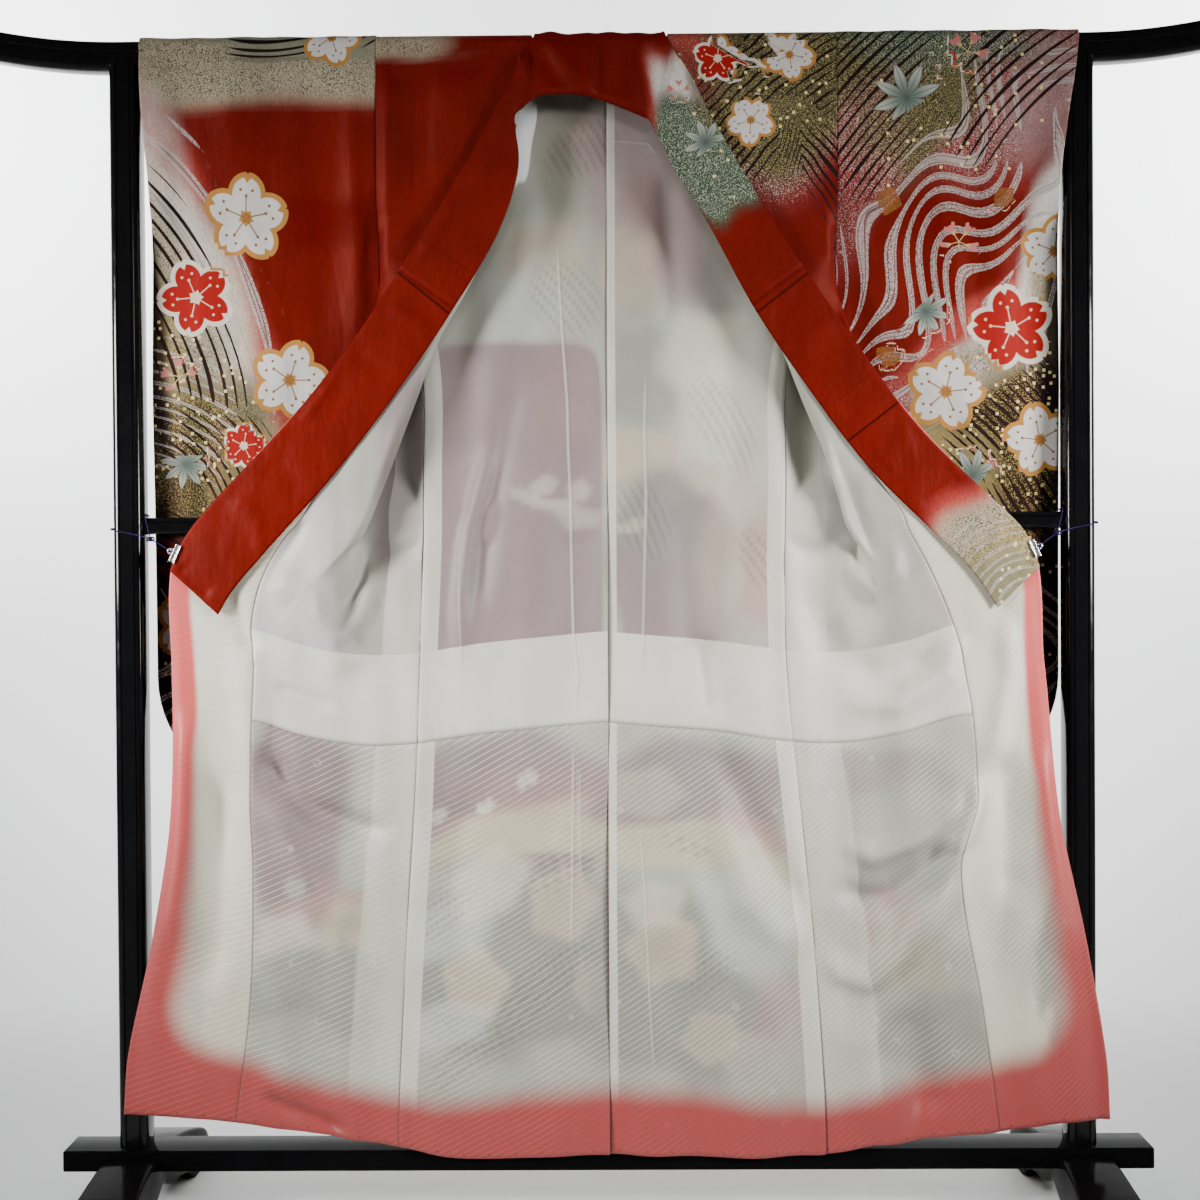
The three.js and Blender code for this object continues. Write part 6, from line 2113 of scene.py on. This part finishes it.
def silkMaterial(name):
    # Crepe silk with its print: grounds, flecks, lines, gold leaf and flowers.
    material, net, shader = newMaterial(name)
    place = net.place()
    cloud = net.between(net.noise(place, 9.0, 3.0, 0.6), 0.3, 0.7, 0.88, 1.12)
    crepe = net.noise(net.vector("MULTIPLY", place, (420.0, 420.0, 150.0)), 1.0, 3.0, 0.65)
    cloud = net.both(cloud, net.between(crepe, 0.2, 0.8, 0.8, 1.2))
    colour = net.shaded(net.attribute("ground", "Color"), cloud)
    # flecks thrown on the ground
    specks = net.noise(place, 640.0, 1.0, 0.5)
    dense = net.minus(0.78, net.both(net.attribute("grain"), 0.6))
    shown = net.between(net.attribute("grain"), 0.01, 0.05)
    fleck = net.both(net.between(net.minus(specks, dense), 0.0, 0.05), shown)
    colour = net.blend(fleck, colour, net.attribute("fleck", "Color"))
    # pale bands, and dark lines drawn with a brush
    def band(phase, wide, soft):
        off = net.size(net.minus(net.fraction(net.attribute(phase)), 0.5))
        gap = net.minus(off, net.attribute(wide))
        shown = net.between(net.attribute(wide), 0.02, 0.06)
        return net.both(net.below(gap, -soft, soft), shown), gap

    pale, gap = band("palePhase", "paleWide", 0.015)
    under = colour
    paleColour = net.blend(net.between(specks, 0.5, 0.56, 0.0, 0.8), silkLook["bandGlint"], under)
    colour = net.blend(net.both(pale, 0.93), colour, paleColour)
    inner = net.both(net.near(net.plus(gap, 0.11), 0.014, 0.024), pale)
    colour = net.blend(net.both(inner, 0.8), colour, net.blend(0.5, under, silkLook["bandLine"]))
    ink, _ = band("inkPhase", "inkWide", 0.03)
    colour = net.blend(ink, colour, silkLook["ink"])
    # small squares of gold leaf
    leafCells = net.put("ShaderNodeTexVoronoi", place, distance="CHEBYCHEV")
    leafCells.inputs["Scale"].default_value = 105.0
    square = net.below(leafCells.outputs["Distance"], 0.2, 0.24)
    fewest = net.minus(1.0, net.both(net.attribute("leaf"), 0.6))
    chosen = net.between(net.minus(net.split(leafCells.outputs["Color"])[0], fewest), 0.0, 0.01)
    gilt = net.both(square, chosen)
    giltColour = net.blend(specks, *silkLook["gilt"])
    colour = net.blend(gilt, colour, giltColour)
    # flowers and leaves
    motif = net.attribute("motif", "Vector")
    u, v, kind = net.split(motif)
    flat = net.join(u, v, 0.0)

    def isKind(number):
        return net.near(net.minus(kind, float(number)), 0.3, 0.4)

    leafFan = net.group(sprayTree, flat)
    far = net.put("ShaderNodeVectorMath", flat, operation="LENGTH").outputs["Value"]
    shade = net.between(far, 0.1, 0.9)
    leafColour = net.blend(shade, *silkLook["leaf"])
    colour = net.blend(net.both(leafFan["Leaves"], isKind(4)), colour, leafColour)
    colour = net.blend(net.both(net.both(leafFan["Veins"], isKind(4)), 0.7), colour, silkLook["vein"])
    colour = net.blend(net.both(leafFan["Bells"], isKind(3)), colour, silkLook["bell"])
    colour = net.blend(net.both(leafFan["Throats"], isKind(3)), colour, silkLook["throat"])
    onTile = net.both(net.below(net.either(net.size(u), net.size(v)), 0.95, 1.0), isKind(5))
    tileColour = net.blend(net.between(specks, 0.48, 0.52), *silkLook["tile"])
    colour = net.blend(net.both(onTile, 0.85), colour, tileColour)
    bloom = net.group(blossomTree, flat)
    redOne = isKind(2)
    bloomIn = net.either(isKind(1), redOne)
    paper = net.blend(net.noise(place, 60.0), *silkLook["paper"])
    rimColour = net.blend(redOne, *silkLook["rims"])
    petalColour = net.blend(redOne, paper, silkLook["redPetal"])
    markColour = net.blend(redOne, *silkLook["marks"])
    colour = net.blend(net.both(bloom["Rim"], bloomIn), colour, rimColour)
    colour = net.blend(net.both(bloom["Petal"], bloomIn), colour, petalColour)
    colour = net.blend(net.both(bloom["Mark"], bloomIn), colour, markColour)
    net.shade("Base Color", colour)
    fixedValues(shader, {"Roughness": 0.5, "Specular IOR Level": 0.2, "Specular Tint": (1.0, 0.3, 0.2, 1)})
    cloth = net.put("ShaderNodeUVMap", uv_map="cloth").outputs[0]
    threads = net.group(weaveTree, cloth)["Height"]
    soft = net.noise(net.vector("MULTIPLY", place, (30.0, 30.0, 12.0)), 1.0, 2.0)
    normal = net.bump(crepe, 0.0004, 0.7, net.bump(soft, 0.004, 0.7))
    if name == "collar_silk":
        cross = net.between(net.size(net.attribute("crossSeam")), 0.0004, 0.0022)
        net.shade("Base Color", net.blend(cross, silkLook["crossSeam"], colour))
        normal = net.bump(cross, 0.0015, 0.8, normal)
    net.shade("Normal", net.bump(threads, 0.0002, 0.4, normal))
    return material


def lacquerMaterial(name, shine, roughFrom, roughTo):
    # Black lacquer: deep, glossy, with faint ripples and a fine haze where hands have polished it.
    material, net, shader = newMaterial(name)
    place = net.place()
    deep = net.blend(net.noise(place, 7.0, 3.0), (0.0022, 0.0022, 0.0027), (0.0052, 0.005, 0.0055))
    net.shade("Base Color", deep)
    haze = net.between(net.noise(place, 34.0, 5.0, 0.6), 0.35, 0.7, roughFrom, roughTo)
    net.shade("Roughness", haze)
    fixedValues(shader, {"Specular IOR Level": shine})
    net.shade("Normal", net.bump(net.noise(place, 11.0, 2.0), 0.0006, 0.2))
    return material


def steelMaterial():
    # Bright plated spring steel, brushed along the jaws.
    material, net, shader = newMaterial("clip_steel")
    brushed = net.noise(net.vector("MULTIPLY", net.place(), (900.0, 900.0, 220.0)), 1.0, 3.0)
    net.shade("Base Color", net.blend(brushed, (0.62, 0.62, 0.63), (0.86, 0.86, 0.88)))
    net.shade("Roughness", net.between(brushed, 0.2, 0.8, 0.18, 0.36))
    fixedValues(shader, {"Metallic": 1.0})
    net.shade("Normal", net.bump(brushed, 0.00005, 0.3))
    return material


def cordMaterial():
    # Violet twisted silk cord: painted shade between its strands, fine fibres on them.
    material, net, shader = newMaterial("tie_cord")
    strand = net.between(net.attribute("strand"), -0.9, 0.6)
    fibres = net.noise(net.place(), 1500.0, 2.0)
    violet = net.blend(fibres, (0.012, 0.003, 0.042), (0.03, 0.008, 0.1))
    # painted shade in the grooves between the strands
    net.shade("Base Color", net.blend(strand, (0.005, 0.002, 0.018), violet))
    fixedValues(shader, {"Roughness": 0.8, "Specular IOR Level": 0.2})
    net.shade("Normal", net.bump(fibres, 0.0001, 0.5))
    return material


paint = {
    "silk_red": silkMaterial("silk_red"),
    "silk_printed": silkMaterial("silk_printed"),
    "collar_silk": silkMaterial("collar_silk"),
    "lining_silk": liningMaterial("lining_silk", False),
    "skirt_lining": liningMaterial("skirt_lining", True),
    "lacquered_wood": lacquerMaterial("lacquered_wood", 0.26, 0.08, 0.18),
    "base": lacquerMaterial("lacquered_base", 0.012, 0.1, 0.2),
    "clip_steel": steelMaterial(),
    "tie_cord": cordMaterial(),
}
# The slot of each kind of cloth piece and its flat size: width, length, and area where it isn't a rectangle.
clothKinds = {
    "body": ("silk_red", 0.335, 3.2, 0.87),
    "okumi": ("silk_red", 0.175, 1.44, 0.155),
    "lining": ("lining_silk", 0.335, 2.0, 0.56),
    "hakkake_front": ("skirt_lining", 0.25, 0.6, 0.135),
    "hakkake_back": ("skirt_lining", 0.305, 0.61, 0.178),
    "hakkake_okumi": ("skirt_lining", 0.18, 1.44, 0.158),
    "collar_band": ("collar_silk", 0.1, 2.06, None),
    "collar_cover": ("collar_silk", 0.095, 0.97, None),
    "sleeve": ("silk_printed", 0.335, 2.2, 0.73),
}


def dressedIn(piece, node, slotName, look=None):
    # Gives a piece its material and its place on the stand's one body, and hides the solid it stands for.
    piece.data.materials.clear()
    piece.data.materials.append(paint[look or slotName])
    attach(piece, "root")
    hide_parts(node)


for name, piece in pieces.items():
    isCollar = name.startswith("collar")
    kind = name if isCollar else name.rsplit("_", 1)[0]
    slotName, width, length, area = clothKinds[kind]
    dressedIn(piece, name, slotName)
    if kind == "hakkake_okumi":
        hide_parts(name.replace("hakkake", "lining"))
for piece, (node, slotName) in fittings.items():
    dressedIn(piece, node, slotName, "base" if node.startswith(("foot", "base")) else None)
for piece in cordPieces:
    piece.data.materials.append(paint["tie_cord"])


# Stage and light.
def floorAndWall():
    mesh = bpy.data.meshes.new("floor")
    points = [(-6, -5, 0), (6, -5, 0)]
    sweep = [(1.2 + 0.8 * math.sin(a), 0.8 - 0.8 * math.cos(a)) for a in np.linspace(0.15, math.pi / 2, 10)]
    for y, z in [(1.2, 0), *sweep, (2.0, 4.5)]:
        points += [(-6, y, z), (6, y, z)]
    faces = [(2 * i, 2 * i + 1, 2 * i + 3, 2 * i + 2) for i in range(len(points) // 2 - 1)]
    mesh.from_pydata(points, [], faces)
    mesh.polygons.foreach_set("use_smooth", np.ones(len(faces), dtype=bool))
    stage = bpy.data.objects.new("floor", mesh)
    bpy.context.scene.collection.objects.link(stage)
    paper, net, shader = newMaterial("stage_paper")
    fixedValues(shader, {"Base Color": (0.85, 0.86, 0.86, 1), "Roughness": 0.9})
    # seen from outside, the paper is clear
    clear = net.put("ShaderNodeMixShader", net.put("ShaderNodeNewGeometry").outputs["Backfacing"])
    net.feed(clear.inputs[1], shader.outputs[0])
    net.feed(clear.inputs[2], net.put("ShaderNodeBsdfTransparent").outputs[0])
    net.feed(paper.node_tree.nodes["Material Output"].inputs["Surface"], clear.outputs[0])
    mesh.materials.append(paper)


def areaLight(name, at, target, size, power, spread):
    data = bpy.data.lights.new(name, "AREA")
    data.spread = math.radians(spread)
    data.shape = "RECTANGLE"
    data.size, data.size_y = size
    data.energy = power
    light = bpy.data.objects.new(name, data)
    light.location = at
    light.rotation_euler = (Vector(target) - Vector(at)).to_track_quat("-Z", "Y").to_euler()
    light.visible_camera = False
    bpy.context.scene.collection.objects.link(light)


# Where a lamp stands, where it points, its width and height, watts and spread in degrees.
lamps = {
    "key_left": ((-2.35, -1.4, 1.4), (-0.44, 0, 0.82), (0.8, 0.8), 13.8, 47),
    "key_right": ((2.35, -1.4, 1.4), (0.44, 0, 0.82), (0.8, 0.8), 12.8, 47),
    "front": ((0, -2.6, 1.9), (0, 0, 1.55), (0.9, 0.4), 0.55, 32),
    "wall_left": ((-2.6, 0.6, 2.3), (-0.9, 2.2, 2.1), (1.2, 1.6), 112, 110),
    "wall_right": ((2.6, 0.6, 2.3), (0.9, 2.2, 2.1), (1.2, 1.6), 118, 110),
}
floorAndWall()
for name, lamp in lamps.items():
    areaLight(name, *lamp)
world = bpy.data.worlds.new("world")
world.use_nodes = True
net = Wiring(world.node_tree)
background = world.node_tree.nodes["Background"]
background.inputs["Color"].default_value = (1, 1, 1, 1)
seen = net.put("ShaderNodeLightPath").outputs["Is Camera Ray"]
net.feed(background.inputs["Strength"], net.between(seen, 0.0, 1.0, 0.06, 1.5))
bpy.context.scene.world = world
print("stage done")
